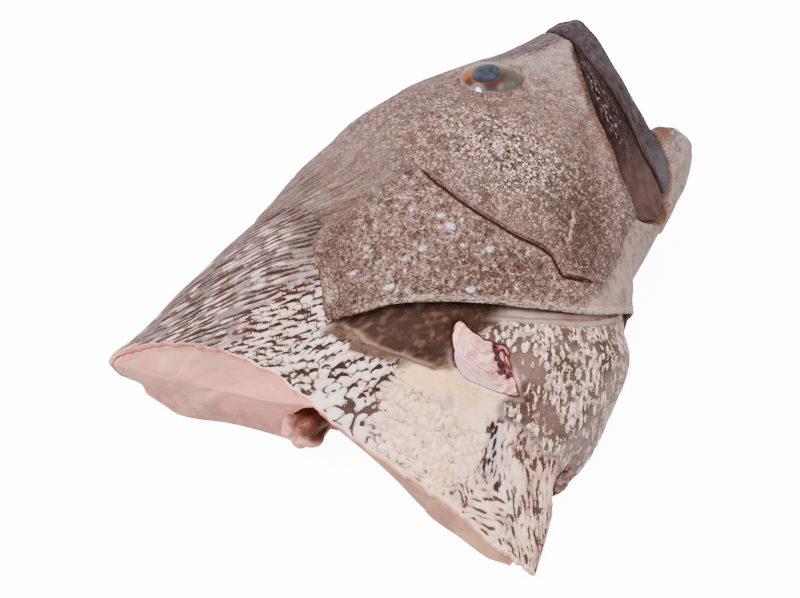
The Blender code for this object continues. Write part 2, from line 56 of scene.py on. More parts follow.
# lines over the skin: degrees down from the ridge, station
lines = {
    "lipFront": [(0, 2), (30, 5), (62, 17), (91, 37.4), (110, 58.4), (128, 71.9), (144, 78.5), (158, 86),
                 (170, 98), (180, 104)],
    "lipRear": [(0, 21), (30, 24), (50, 29), (62, 34), (86, 51.9), (109, 71.2), (134, 90.8), (150, 95),
                (160, 99)],
    "jawRim": [(108, 60), (120, 68), (128, 64), (142, 52), (160, 47), (180, 45)],
    "cheekFront": [(0, 22), (30, 25), (50, 31), (61, 37.4), (74, 52.7), (89, 72), (108, 94), (120, 106),
                   (131, 117.5), (140, 123.8), (147, 126.5), (154, 123), (162, 116), (170, 110), (180, 109)],
    "cheekRear": [(0, 184), (60, 186), (75, 192.6), (84, 196.1), (92, 197.5), (102, 197.5), (110, 195.6),
                  (113.5, 195.2), (117.5, 197.3), (121, 199.6), (124, 197.5), (127.5, 194.7), (132, 191.5),
                  (142, 178), (150, 165), (165, 152), (180, 146)],
    "cheekLow": [(126, 147.5), (140, 146.6), (155, 145.2), (175, 139), (186, 135.8), (200, 131)],
    "gillEdge": [(0, 220), (45, 223), (56, 230.8), (61, 239.7), (69, 246.7), (78.5, 254.8), (84.5, 260.2),
                 (88, 262), (92, 256.1), (95, 249.2), (99.6, 242.8), (104, 237.5), (113, 228.2),
                 (121.5, 219.8), (136, 204.8), (152, 186.2), (165, 173), (180, 165)],
    "cutEdge": [(0, 296), (15, 295.5), (28, 294), (40, 290.5), (61, 286.4), (79, 285.4), (89, 285.8),
                (97, 288.9), (109, 294.3), (124, 299), (139, 302), (152, 306), (167, 305), (180, 303)],
    "leftShorter": [(0, 0), (25, 2), (50, 14), (90, 20), (110, 34), (140, 34), (158, 14), (170, 3), (180, 0)],
}


def curve(points, x):
    px, py = np.array(points, float).T
    slope = np.diff(py) / np.diff(px)
    product = slope[:-1] * slope[1:]
    total = np.where(product > 0, slope[:-1] + slope[1:], 1.0)
    tangent = np.concatenate(([slope[0]], np.where(product > 0, 2 * product / total, 0.0), [slope[-1]]))
    x = np.clip(x, px[0], px[-1])
    k = np.clip(np.searchsorted(px, x, side="right") - 1, 0, len(px) - 2)
    step = px[k + 1] - px[k]
    t = (x - px[k]) / step
    return ((2 * t**3 - 3 * t**2 + 1) * py[k] + (t**3 - 2 * t**2 + t) * step * tangent[k]
            + (3 * t**2 - 2 * t**3) * py[k + 1] + (t**3 - t**2) * step * tangent[k + 1])


def ease(start, end, x):
    t = np.clip((x - start) / (end - start), 0.0, 1.0)
    return t * t * (3 - 2 * t)


def mix(a, b, t):
    return a + (b - a) * t


def span(x, a, b, c, d):  # rises from a to b and falls from c to d
    return ease(a, b, x) * ease(d, c, x)


def bell(x, width):
    return np.exp(-(x / width) ** 2)


def toned(low, high, share):  # colours mixed corner by corner
    return mix(np.asarray(low, float), np.asarray(high, float), np.asarray(share)[..., None])


def onOval(station, degrees):
    top, bottom = curve(fish["back"], station), curve(fish["belly"], station)
    middle = bottom + curve(fish["widestAt"], station) * (top - bottom)
    rise, out = np.cos(np.radians(degrees)), np.sin(np.radians(degrees))
    height = middle + np.where(rise > 0, top - middle, middle - bottom) * rise
    side = curve(fish["halfWidth"], station) * np.sign(out) * np.abs(out) ** 0.9
    return lay(station, height, side)


def lay(station, height, side):
    t = ease(*fish["lie"], station)
    roll = np.radians(mix(*fish["roll"], t))
    return np.stack([-station, height * np.cos(roll) - side * np.sin(roll),
                     mix(*fish["axis"], t) + height * np.sin(roll) + side * np.cos(roll)], -1)


def outward(station, degrees):
    step = 0.05
    back = onOval(station + step, degrees) - onOval(station - step, degrees)
    down = onOval(station, degrees + step) - onOval(station, degrees - step)
    out = np.cross(back, down)
    return out / (np.linalg.norm(out, axis=-1, keepdims=True) + 1e-12)


def freeSkin(station, degrees, level):
    station, degrees, level = np.broadcast_arrays(*(np.asarray(v, float) for v in (station, degrees, level)))
    return onOval(station, degrees) + outward(station, degrees) * level[..., None]


def onTable(points, floor=0.0, soft=1.5):  # the lower side is pressed flat, with a soft bend
    points = points.copy()
    high = points[..., 2] - floor
    bent = np.where(high > soft, high, np.where(high < -soft, 0.0, (high + soft) ** 2 / (4 * soft)))
    points[..., 2] = floor + bent
    return points


def offTable(station, degrees):
    return ease(1.0, 9.0, onOval(station, degrees)[..., 2])


def relief(station, degrees):
    down = np.abs(degrees)
    onCheek = ease(2, -2, down - curve(lines["cheekLow"], station)) * ease(202, 190, station)
    level = 1.5 * onCheek * ease(20, 60, down)
    eye = np.hypot(station - fish["eye"][0], (down - fish["eye"][1]) * 0.72)
    level = level + 1.0 * bell(eye, 19.0)
    behind = station - curve(lines["gillEdge"], down)
    covered = ease(48, 60, down) * offTable(station, degrees)
    level = level - 4.2 * covered * span(behind, -14, -2, 4, 26)
    dent = np.hypot((station - fish["bellyDent"][0]) / 9.0, (down - fish["bellyDent"][1]) / 16.0)
    return level - 5.0 * bell(dent, 1.0)


def cutEdge(degrees):
    down = np.abs(degrees)
    return curve(lines["cutEdge"], down) - np.where(degrees < 0, curve(lines["leftShorter"], down), 0.0)


def seatDepth(down):
    return fish["seat"] * mix(0.5, 1.0, ease(10, 50, down))


def rimLine(down):
    return mix(curve(lines["lipFront"], down) + 4.0, curve(lines["jawRim"], down), ease(108, 120, down))


# uneven fields, worked out on the fish's own grid
def noiseField(x, y, seed):
    table = np.random.default_rng(seed).random((256, 256))
    ix, iy = np.floor(x).astype(int), np.floor(y).astype(int)
    fx, fy = x - ix, y - iy
    fx, fy = fx * fx * (3 - 2 * fx), fy * fy * (3 - 2 * fy)
    def at(a, b):
        return table[(ix + a) % 256, (iy + b) % 256]
    return 2 * mix(mix(at(0, 0), at(1, 0), fx), mix(at(0, 1), at(1, 1), fx), fy) - 1


def uneven(x, y, seed, layers=3):
    total, weight = 0.0, 0.0
    for layer in range(layers):
        total = total + noiseField(x * 2**layer, y * 2**layer, seed + layer) / 1.7**layer
        weight += 1 / 1.7**layer
    return total / weight


def spot(station, degrees, place, reach):  # soft round patch on the skin
    return np.exp(-(((station - place[0]) / reach[0]) ** 2 + ((degrees - place[1]) / reach[1]) ** 2))


def scaleField(along, across, pitch, seed, jitter=0.16):
    # overlapping scales: share of the way to its scale's edge, offset along it, and a number of its own
    best, edge = np.full(along.shape, 1e9), np.ones(along.shape)
    ahead, number = np.zeros(along.shape), np.zeros(along.shape)
    table = np.random.default_rng(seed).random((3, 512, 512))
    row0 = np.floor(across / pitch[1]).astype(int)
    for dr in (-1, 0, 1, 2):
        row = row0 + dr
        column0 = np.floor(along / pitch[0] - 0.5 * (row % 2)).astype(int)
        for dc in (-1, 0, 1, 2):
            column = column0 + dc
            a, b, c = (table[k][row % 512, column % 512] for k in range(3))
            u = (along / pitch[0]) - (column + 0.5 * (row % 2) + jitter * (2 * a - 1))
            v = (across / pitch[1]) - (row + jitter * (2 * b - 1))
            reach = np.sqrt((u / 0.92) ** 2 + (v / 0.86) ** 2)
            order = np.where(reach < 1, -u, 100 + reach)
            ok = order < best
            best = np.where(ok, order, best)
            edge = np.where(ok, np.minimum(reach, 1.0), edge)
            ahead = np.where(ok, u, ahead)
            number = np.where(ok, c, number)
    return edge, ahead, number


# meshes
def corners(mesh):
    flat = np.empty(len(mesh.vertices) * 3)
    mesh.vertices.foreach_get("co", flat)
    return flat.reshape(-1, 3)


def setCorners(piece, place):  # from fish millimetres to metres in the part's frame
    piece.data.vertices.foreach_set("co", ((place - np.array(fish["centre"])) * 0.001).ravel())


def skinAxes(station, degrees):  # back along the skin and out of it
    station, degrees = np.array(float(station)), np.array(float(degrees))
    out = outward(station, degrees)
    back = onOval(station + 1.0, degrees) - onOval(station, degrees)
    back -= out * np.dot(back, out)
    return back / np.linalg.norm(back), out


def unitBall(name, segments, rings):
    bpy.ops.mesh.primitive_uv_sphere_add(segments=segments, ring_count=rings, radius=1.0)
    piece = bpy.context.active_object
    piece.name = piece.data.name = name
    return piece, corners(piece.data)


def finishMesh(piece):
    bpy.ops.object.select_all(action="DESELECT")
    piece.select_set(True)
    bpy.context.view_layer.objects.active = piece
    bpy.ops.object.mode_set(mode="EDIT")
    bpy.ops.mesh.select_all(action="SELECT")
    bpy.ops.mesh.remove_doubles(threshold=1e-7)
    bpy.ops.object.mode_set(mode="OBJECT")
    mesh = piece.data
    corner = corners(mesh)
    mesh.calc_loop_triangles()
    tri = np.empty(len(mesh.loop_triangles) * 3, int)
    mesh.loop_triangles.foreach_get("vertices", tri)
    a, b, c = (corner[tri.reshape(-1, 3)[:, k]] - corner[0] for k in range(3))
    if np.sum(a * np.cross(b, c)) < 0:
        mesh.flip_normals()
    mesh.shade_smooth()
    return piece


def shapeGrid(name, points, fields=None):  # a grid over rows and columns of points, and its fields
    rows, columns = points.shape[:2]
    bpy.ops.mesh.primitive_grid_add(x_subdivisions=rows - 1, y_subdivisions=columns - 1, size=2)
    piece = bpy.context.active_object
    piece.name = piece.data.name = name
    mesh = piece.data
    flat = corners(mesh)
    i = np.rint((flat[:, 0] + 1) / 2 * (rows - 1)).astype(int)
    j = np.rint((flat[:, 1] + 1) / 2 * (columns - 1)).astype(int)
    setCorners(piece, points[i, j])
    for field, values in (fields or {}).items():
        values = np.concatenate([values[:1], values, values[-1:]], 0)  # the rows that closeEnds adds
        if values.ndim == 3:
            layer = mesh.attributes.new(field, "FLOAT_COLOR", "POINT")
            four = np.concatenate([paint(values[i, j]), np.ones((len(i), 1))], 1)
            layer.data.foreach_set("color", four.ravel())
        else:
            layer = mesh.attributes.new(field, "FLOAT", "POINT")
            layer.data.foreach_set("value", np.broadcast_to(values, (rows, columns))[i, j].ravel())
    return finishMesh(piece)


def closeRound(points):  # the first column again after the last
    return np.concatenate([points, points[:, :1]], 1)


def closeEnds(points):  # one point at each end row
    first = np.repeat(points[:1].mean(axis=1, keepdims=True), points.shape[1], 1)
    last = np.repeat(points[-1:].mean(axis=1, keepdims=True), points.shape[1], 1)
    return np.concatenate([first, points, last], 0)


def paint(colour):  # surface colour that looks like this colour in the studio's light
    colour = np.asarray(colour, float)
    return np.minimum(0.92, 0.7 * colour / (1 - np.minimum(colour, 0.97)) ** 1.2 / studioLight)


class Wire:  # a socket that can be added and multiplied
    def __init__(self, shop, socket):
        self.shop, self.socket = shop, socket

    def maths(self, operation, *others):
        return self.shop.make("ShaderNodeMath", {"operation": operation}, [self, *others])

    def __add__(self, other):
        return self.maths("ADD", other)

    def __sub__(self, other):
        return self.maths("SUBTRACT", other)

    def __mul__(self, other):
        return self.maths("MULTIPLY", other)

    def __rsub__(self, other):
        return self.shop.make("ShaderNodeMath", {"operation": "SUBTRACT"}, [other, self])

    __radd__ = __add__
    __rmul__ = __mul__

    def above(self, low, high):  # 0 below low, 1 above high, eased between
        return self.shop.make("ShaderNodeMapRange", {"interpolation_type": "SMOOTHSTEP"},
                              {"Value": self, "From Min": low, "From Max": high})

    def below(self, high, low):  # 1 below low, 0 above high
        return 1.0 - self.above(low, high)

    def span(self, a, b, c, d):  # rises from a to b and falls from c to d
        return self.above(a, b) * self.below(d, c)

    def near(self, middle, reach):  # 1 at the middle, 0 past the reach
        return self.maths("SUBTRACT", middle).maths("ABSOLUTE").below(reach, 0.0)


class Shop:  # one material and its nodes
    def __init__(self, name):
        self.material = bpy.data.materials.new(name)
        self.material.use_nodes = True
        self.tree = self.material.node_tree
        self.shader = self.tree.nodes["Principled BSDF"]

    def put(self, socket, value):  # links a wire or sets a value
        if isinstance(value, Wire):
            self.tree.links.new(value.socket, socket)
        elif value is not None:
            socket.default_value = value

    def make(self, kind, settings=None, inputs=None, output=0):
        node = self.tree.nodes.new(kind)
        for key, value in (settings or {}).items():
            setattr(node, key, value)
        pairs = inputs.items() if isinstance(inputs, dict) else enumerate(inputs or [])
        for key, value in pairs:
            self.put(node.inputs[key], value)
        return Wire(self, node.outputs[output])

    def field(self, name, colour=False):
        return self.make("ShaderNodeAttribute", {"attribute_name": name}, output="Color" if colour else "Fac")

    def fields(self, *names):
        return [self.field(name) for name in names]

    def place(self):  # object coordinates in millimetres
        return self.vector("MULTIPLY", self.make("ShaderNodeTexCoord", output="Object"), [1000.0] * 3)

    def vector(self, operation, first, second):
        return self.make("ShaderNodeVectorMath", {"operation": operation}, [first, second])

    def at(self, *axes):  # a place made of three numbers
        return self.make("ShaderNodeCombineXYZ", {}, axes)

    def noise(self, where, scale, detail=2.0, rough=0.5, warp=0.0):
        return self.make("ShaderNodeTexNoise", {}, {"Vector": where, "Scale": scale, "Detail": detail,
                                                    "Roughness": rough, "Distortion": warp})

    def cells(self, where, scale, feature="F1", output="Distance"):
        return self.make("ShaderNodeTexVoronoi", {"feature": feature},
                         {"Vector": where, "Scale": scale}, output)

    def warp(self, where, scale, reach):  # the same place, pushed about by noise
        push = self.make("ShaderNodeTexNoise", {}, {"Vector": where, "Scale": scale, "Detail": 1.0}, "Color")
        push = self.vector("MULTIPLY", self.vector("SUBTRACT", push, [0.5] * 3), [2.0 * reach] * 3)
        return self.vector("ADD", where, push)

    def part(self, colour, which):  # one number out of a colour's three
        return self.make("ShaderNodeSeparateColor", {}, [colour], which)

    def scale(self, colour, factor):  # brighter or darker
        return self.make("ShaderNodeVectorMath", {"operation": "SCALE"}, {"Vector": colour, "Scale": factor})

    def blend(self, low, high, share):
        low, high = (value if isinstance(value, Wire) else (*paint(value), 1.0) for value in (low, high))
        return self.make("ShaderNodeMix", {"data_type": "RGBA"}, {0: share, 6: low, 7: high}, 2)

    def coats(self, colour, layers):  # laid over one another by their shares; None makes brighter
        for tone, share in layers:
            colour = self.scale(colour, share) if tone is None else self.blend(colour, tone, share)
        return colour

    def finish(self, colour, rough, bumps, shine=0.5, coat=(0.0, 0.03), soft=(0.0, (1.0, 0.2, 0.1))):
        normal = None
        for height, depth in bumps:  # depth in millimetres
            normal = self.make("ShaderNodeBump", {}, {"Strength": 1.0, "Distance": depth * 0.001,
                                                      "Height": height, "Normal": normal})
        values = {"Base Color": colour, "Roughness": rough, "Normal": normal, "Specular IOR Level": shine,
                  "Coat Weight": coat[0], "Coat Roughness": coat[1],
                  "Subsurface Weight": soft[0], "Subsurface Radius": soft[1]}
        for socket, value in values.items():
            self.put(self.shader.inputs[socket], value)
        return self.material


def dress(piece, material, slot, *nodes):
    piece.data.materials.clear()
    piece.data.materials.append(material)
    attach(piece, "root")
    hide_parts(*nodes)


def dressPair(make, name, material, slot, node):  # the right piece and its mirror image
    for side, tag in ((1, "right"), (-1, "left")):
        dress(make(name + tag.capitalize(), side), material, slot, node + tag)


# camera, floor and light
view = {"azimuth": -63.0, "elevation": 43.0, "distance": 1.2, "lens": 118.0,
        "target": (-201.2, -3.3, 28.3), "lampTarget": (0.0, 0.0, 0.03),
        "floorColour": 0.9, "floorGlow": 12.0, "floorSize": 8.0, "sky": 1.15, "sensor": 36.0,
        "lamps": {"keyLight": ((-0.9, 0.9, 1.9), 1.6, 130.0), "fillLight": ((0.9, -1.3, 1.2), 1.8, 34.0)}}


def setStage():
    a, e = math.radians(view["azimuth"]), math.radians(view["elevation"])
    back = Vector((math.sin(a) * math.cos(e), -math.cos(a) * math.cos(e), math.sin(e)))
    right = Vector((math.cos(a), math.sin(a), 0.0))
    target = (Vector(view["target"]) - Vector(fish["centre"])) * 0.001
    lens = bpy.data.cameras.new("camera")
    lens.lens, lens.sensor_width = view["lens"], view["sensor"]
    camera = bpy.data.objects.new("camera", lens)
    turn = Matrix((right, back.cross(right), back)).transposed().to_4x4()
    camera.matrix_world = Matrix.Translation(target + back * view["distance"]) @ turn
    bpy.context.scene.collection.objects.link(camera)
    bpy.context.scene.camera = camera
    bpy.ops.mesh.primitive_plane_add(size=view["floorSize"])
    floor = bpy.context.active_object
    floor.name = "floor"
    # a white sheet lit from below, whose glow doesn't reach the fish
    shop = Shop("paleFloor")
    floor.data.materials.append(shop.material)
    white = (1.0, 1.0, 1.0, 1.0)
    for socket, value in (("Base Color", (*[view["floorColour"]] * 3, 1.0)), ("Roughness", 0.6),
                          ("Emission Color", white), ("Emission Strength", view["floorGlow"])):
        shop.put(shop.shader.inputs[socket], value)
    floor.visible_diffuse = False
    floor.visible_glossy = False
    # a big soft light up and behind to the left of the picture, a weak fill from the right
    for name, (where, size, power) in view["lamps"].items():
        light = bpy.data.lights.new(name, "AREA")
        light.size, light.energy = size, power
        lamp = bpy.data.objects.new(name, light)
        lamp.location = where
        lamp.rotation_euler = (Vector(where) - Vector(view["lampTarget"])).to_track_quat("Z", "Y").to_euler()
        bpy.context.scene.collection.objects.link(lamp)
    world = bpy.data.worlds.new("studio")
    world.use_nodes = True
    background = world.node_tree.nodes["Background"]
    background.inputs["Color"].default_value = white
    background.inputs["Strength"].default_value = view["sky"]
    bpy.context.scene.world = world


setStage()
print("stage set")


# skin of the head: face, cheeks, gill covers and nape, with the mouth's hollow
headSkin = {
    "columnsRight": 300, "columnsLeft": 90, "mouthRows": 12, "jawRows": 16, "cheekRows": 104,
    "coverRows": 42, "cavityEnd": 112.0,
    "gillLift": 4.2, "gillTuck": 6.0, "cheekStep": 1.8, "jawWall": 7.5, "chinLift": 1.0,
    "eyeReach": (17.2, 16.2), "nostrils": ((68.5, 53.2, 1.1), (58.5, 52.6, 1.3)),
    "grain": 0.5, "grainRelief": 0.42,
    # single pale chips of the gill cover: station, degrees, size
    "chips": ((208, 82, 1.5), (210.5, 86, 1.8), (211, 74, 1.1), (225, 86, 1.2), (211, 99, 1.2),
              (244, 91, 1.3), (245, 80, 1.1), (230, 104, 1.2), (232, 86, 0.9), (216, 93, 1.0)),
    "snout": (0.5, 0.41, 0.39), "snoutTop": (0.205, 0.15, 0.162), "forehead": (0.4, 0.285, 0.262),
    "nape": (0.355, 0.26, 0.24), "mauve": (0.355, 0.268, 0.255), "cheek": (0.52, 0.405, 0.37),
    "cheekBrown": (0.135, 0.066, 0.048), "rust": (0.27, 0.145, 0.105), "cover": (0.44, 0.33, 0.288),
    "olive": (0.195, 0.115, 0.075), "flap": (0.365, 0.255, 0.205), "flapFoldHighlight": (0.56, 0.46, 0.4),
    "lipSide": (0.46, 0.375, 0.34), "jaw": (0.52, 0.425, 0.38), "chin": (0.5, 0.445, 0.445),
    "throat": (0.49, 0.405, 0.37), "slitShade": (0.06, 0.018, 0.012), "mouth": (0.3, 0.17, 0.15),
    "seatBrown": (0.27, 0.125, 0.055), "white": (0.76, 0.67, 0.64), "seam": (0.105, 0.052, 0.038),
}


def spread(right, left, more, at):  # degrees of the columns, closer together near one place
    fine = np.linspace(0, 180, 1441)
    density = 1.0 + more * bell(fine - at, 45.0)
    share = np.concatenate(([0], np.cumsum((density[1:] + density[:-1]) / 2)))
    half = np.interp(np.linspace(0, share[-1], right), share, fine)
    other = np.linspace(0, 180, left)
    return np.concatenate((-other[:0:-1], half))


def between(table, k):  # the values between two rows of a table
    return [np.interp(k, range(len(table)), column) for column in zip(*table)]


def headRows(degrees):
    down = np.abs(degrees)
    rim = rimLine(down)
    seatFront = np.maximum(curve(lines["lipFront"], down) - fish["gap"], rim + 2.6)
    seated = ease(172, 165, down)
    seat = -seatDepth(down) * seated
    bare = ease(4.5, 10.0, curve(lines["lipFront"], down) - rim)
    wall = mix(0.8 * seatDepth(down), headSkin["jawWall"], bare)
    cheek, rear, gill = (curve(lines[key], down) for key in ("cheekFront", "cheekRear", "gillEdge"))
    rows, shade = [], []

    def row(station, level, inside=0.0):  # inside: 1 in the mouth, 2 on a seat, -1 in a slit
        rows.append((station + 0.0 * down, level + 0.0 * down))
        shade.append(inside + 0.0 * down)

    def fold(line, steps, depth, start, end, inside, count=2):
        for k in np.linspace(0, len(steps) - 1, count * (len(steps) - 1) + 1):
            flat, folded, share = between(steps, k)
            along, level = line + mix(flat, folded, depth ** 2), mix(start, end, share)
            row(along, level, inside * depth * ease(0.35, 0.7, share))

    def band(start, end, shares):
        for share in shares:
            row(mix(start, end, share), relief(mix(start, end, share), degrees))

    front = mix(seat, 0.0, bare)
    chin = headSkin["chinLift"] * bare
    rimShape = ((0.6, 0.0, 1.0), (0.0, -1.6, 0.72), (0.0, -2.3, 0.5), (0.0, -1.7, 0.2), (0.4, 0.4, 0.02))
    for k in np.linspace(0, 4, 9):
        flat, curled, share = between(rimShape, k)
        row(rim + mix(flat, curled, bare), front - share * wall, 1.0 - ease(3.0, 4.0, k))
    for share in np.linspace(0.08, 0.97, headSkin["jawRows"]):
        row(mix(rim + 0.8, seatFront - 0.5, share), mix(seat, chin, bare), 2.0 * (1 - bare))
    row(seatFront - 0.5, mix(seat, 0.4 * chin, bare), 2.0 * (1 - bare))
    for share in np.linspace(0.0, 0.93, 5):
        row(mix(seatFront, cheek - 2.0, share), seat, 2.0)
    edge = relief(cheek + 1.0, degrees)
    fold(cheek, ((-2.0, 1.5, 0.0), (-1.5, 1.2, 0.45), (-1.0, 0.2, 0.75), (-0.5, -0.3, 0.87), (0.2, 0.0, 0.97),
                 (1.0, 1.0, 1.0)), seated, seat, edge, 0.0)
    band(cheek + 1.0, rear - 3.0, np.linspace(0, 1, headSkin["cheekRows"])[1:])
    onRear = span(down, 62, 77, 130, 137) * offTable(rear, degrees)
    plate = relief(rear - 3.0, degrees)
    low = plate - headSkin["cheekStep"] * onRear
    fold(rear, ((-2.2, -1.6, 0.0), (-0.9, -0.4, 0.1), (0.1, -0.1, 0.42), (0.5, -1.3, 0.75), (1.1, -0.9, 1.0),
                (3.2, 0.7, 1.02)), onRear, plate, low, 0.0)
    onGill = ease(50, 60, down) * offTable(gill, degrees)
    lid = -0.4 * onRear + 0.6 * onGill
    for share in np.linspace(0.02, 1.0, headSkin["coverRows"]):
        row(mix(rear + 3.5, gill - 9.0, share), mix(low, lid, ease(0.0, 1.0, share)))
    under = -headSkin["gillLift"] * onGill
    fold(gill, ((-8.0, -8.0, 0.0), (-4.0, -4.0, 0.0), (-1.6, -1.2, 0.02), (-0.6, 0.0, 0.2), (0.4, -1.0, 0.38),
                (1.2, -headSkin["gillTuck"], 0.46)), onGill, lid, under, -1.0, 3)
    back = gill + mix(4.0, -headSkin["gillTuck"] - 2.0, onGill)
    row(back, mix(under, 0.2 * under, onGill) - 1.2 * (1 - onGill), -1.0)
    row(back, mix(under, 0.2 * under, onGill) - 4.0, -1.0)
    return rows, np.array(shade)


def headDetail(s, d, outer):  # fine forms of the head's skin, in millimetres
    down = np.abs(d)
    level = 0.0 * s
    ex = (s - fish["eye"][0]) / headSkin["eyeReach"][0]
    ey = (down - fish["eye"][1]) * 1.38 / headSkin["eyeReach"][1]
    r = np.hypot(ex, ey)
    level -= 5.5 * ease(1.03, 0.86, r)
    level += 0.4 * bell(r - 1.09, 0.09)
    lidFold = 0.6 + 0.4 * noiseField(np.arctan2(ey, ex) * 2 + 9, 0 * s, 3)
    level -= 0.6 * bell(r - 1.3, 0.1) * lidFold
    for station, degrees, size in headSkin["nostrils"]:
        q = np.hypot((s - station) / (2.6 * size), (down - degrees) * 1.3 / (1.5 * size))
        level += -1.8 * size * bell(q, 0.6) + 0.6 * size * bell(q - 1.3, 0.4)
    # the brow's fold, wrinkles of snout, jaw and throat
    brow = ease(82, 74, s) * ease(34, 46, s)
    level += brow * (0.9 * bell(down - 54.8, 1.6) - 1.0 * bell(down - 51.2, 1.5))
    level -= 0.9 * bell(s - curve(lines["lipRear"], down) - 1.5, 1.6) * ease(60, 48, down)
    snout = ease(95, 60, s) * span(down, 20, 40, 80, 100)
    wrinkled = ease(-0.2, 0.6, noiseField(s / 18, down / 15, 6))
    level += 0.35 * snout * np.sin(down / 2.6 + 3 * noiseField(s / 14, down / 20, 5)) * wrinkled
    jaw = ease(120, 135, down) * ease(160, 120, s)
    level += 0.7 * jaw * uneven(s / 26, down / 9, 11, 2)
    level -= 1.6 * jaw * bell(s - 66 - 8 * np.sin(down / 14), 2.6) * ease(176, 160, down)
    throat = ease(138, 150, down) * ease(128, 150, s)
    level += 0.5 * throat * np.sin((s + 0.5 * down) / 3.4 + 2.5 * noiseField(s / 20, down / 12, 8))
    # the cheek plate's raised rim, flat spines on the gill cover, its notch and its soft flap
    behindRear = s - curve(lines["cheekRear"], down)
    rim = span(down, 66, 74, 124, 132)
    level += rim * (0.55 * bell(behindRear + 0.6, 0.8) - 0.35 * bell(behindRear + 2.4, 0.7))
    gill = curve(lines["gillEdge"], down)
    cover = ease(200, 208, s) * span(down, 55, 66, 112, 125)
    level += 0.9 * cover * bell(down - 76 - 0.1 * (s - 205), 2.6) * ease(250, 236, s)
    level += 0.6 * cover * bell(down - 93 - 0.02 * (s - 205), 2.2) * ease(240, 226, s)
    flap = ease(-20, -15, s - gill) * span(down, 60, 68, 90, 98)
    level -= 0.9 * flap * ease(0, -6, s - gill)
    level += 1.0 * flap * bell(s - gill + 2.6 + 0.25 * (down - 78), 1.6)
    level += 0.8 * spot(s, down, (236, 58.5), (3.2, 2.0))
    level -= 0.7 * spot(s, down, (231, 55.8), (1.9, 1.6))
    # frayed fringe along the slit, veins on the cheek plate
    fringe = ease(-5.5, -3.5, s - gill) * span(down, 90, 95, 128, 140)
    level += 0.45 * fringe * noiseField(down * 1.1, s / 2.2, 15)
    # low lumps of the bones and the pebbled skin
    level += 0.9 * uneven(s / 22, d / 20, 21, 3) * ease(0.9, 1.3, r)
    pebble = ease(105, 128, s) * ease(150, 138, down) + 0.5 * ease(128, 105, s)
    level += 0.26 * pebble * uneven(s / 2.2, d / 1.7, 31, 2) * ease(1.0, 1.25, r)
    return level * outer


def headTint(s, down, shade):  # broad colours of the head, region by region
    gill = curve(lines["gillEdge"], down)
    ahead = s - curve(lines["cheekFront"], down)
    m = uneven(s / 11, down / 8, 41)
    n = uneven(s / 5, down / 4, 43)
    low = curve(lines["cheekLow"], s)
    tint = np.zeros(s.shape + (3,)) + np.array(headSkin["forehead"])
    for name, share in (
        ("nape", ease(150, 190, s) * ease(66, 54, down + 4 * m)),
        ("snout", ease(112, 88, s + 6 * m)),
        ("snoutTop", ease(55, 50, down + 1.5 * m) * ease(96, 70, s + 8 * m)),
        ("cheek", spot(s, down, (148, 94), (40, 22)) * (0.8 + 0.4 * m)),
        ("rust", 0.75 * spot(s, down, (178, 60), (16, 7)) * (0.7 + 0.9 * m)),
        ("rust", 0.55 * spot(s, down, (186, 71), (10, 4)) * (0.7 + 0.9 * m)),
        ("rust", 0.55 * spot(s, down, (224, 57), (9, 4))),
        ("mauve", 0.8 * spot(s, down, (205, 66), (15, 8)) * (0.8 + 0.5 * m)),
        ("cheekBrown", 2.4 * spot(s, down, (167, 122), (24, 11)) * (0.9 + 0.5 * m)),
        ("cheekBrown", 0.8 * spot(s, down, (128, 113), (16, 7)) * (0.7 + 0.9 * n)),
        ("cheekBrown", 0.35 * ease(0.0, 0.6, m) * span(s, 110, 130, 190, 196)),
        ("lipSide", ease(17, 6, ahead + 3 * n) * span(down, 104, 118, 140, 152)),
        ("cover", ease(192, 203, s) * span(down, 62, 70, 135, 150)),
        ("olive", ease(198, 206, s) * spot(s, down, (222, 106), (20, 11)) * (0.75 + 0.8 * m)),
        ("olive", 0.5 * ease(198, 206, s) * ease(0.0, 0.5, n) * ease(120, 110, down)),
        ("flap", ease(-19, -12, s - gill + 4 * n) * span(down, 60, 66, 88, 93)),
        # painted highlight along the flap's raised fold
        ("flapFoldHighlight", 0.75 * bell(s - gill + 2.6 + 0.25 * (down - 78), 2.0) * span(down, 70, 75, 84, 88)),
        ("jaw", ease(low - 1, low + 4, down) * ease(112, 118, down)),
        ("chin", ease(84, 60, s) * ease(104, 116, down)),
        ("seatBrown", 0.85 * ease(5.8, 3.4, ahead + 0.9 * n) * span(down, 62, 70, 132, 142)),
        # painted shade: near-black in the gap in front of the cheek, where the jaw blade sits
        ("slitShade", 0.97 * ease(3.6, 2.4, ahead + 0.8 * n) * span(down, 60, 68, 94, 106)),
        ("throat", ease(150, 162, down + 3 * m)),
        ("rust", 0.5 * ease(0.1, 0.6, n) * span(down, 124, 136, 150, 170)),
        ("mouth", span(shade, 0.3, 0.9, 1.2, 1.9)),
        ("seatBrown", ease(1.5, 2.0, shade)),
    ):
        tint = toned(tint, headSkin[name], np.clip(share, 0, 1))
    return tint


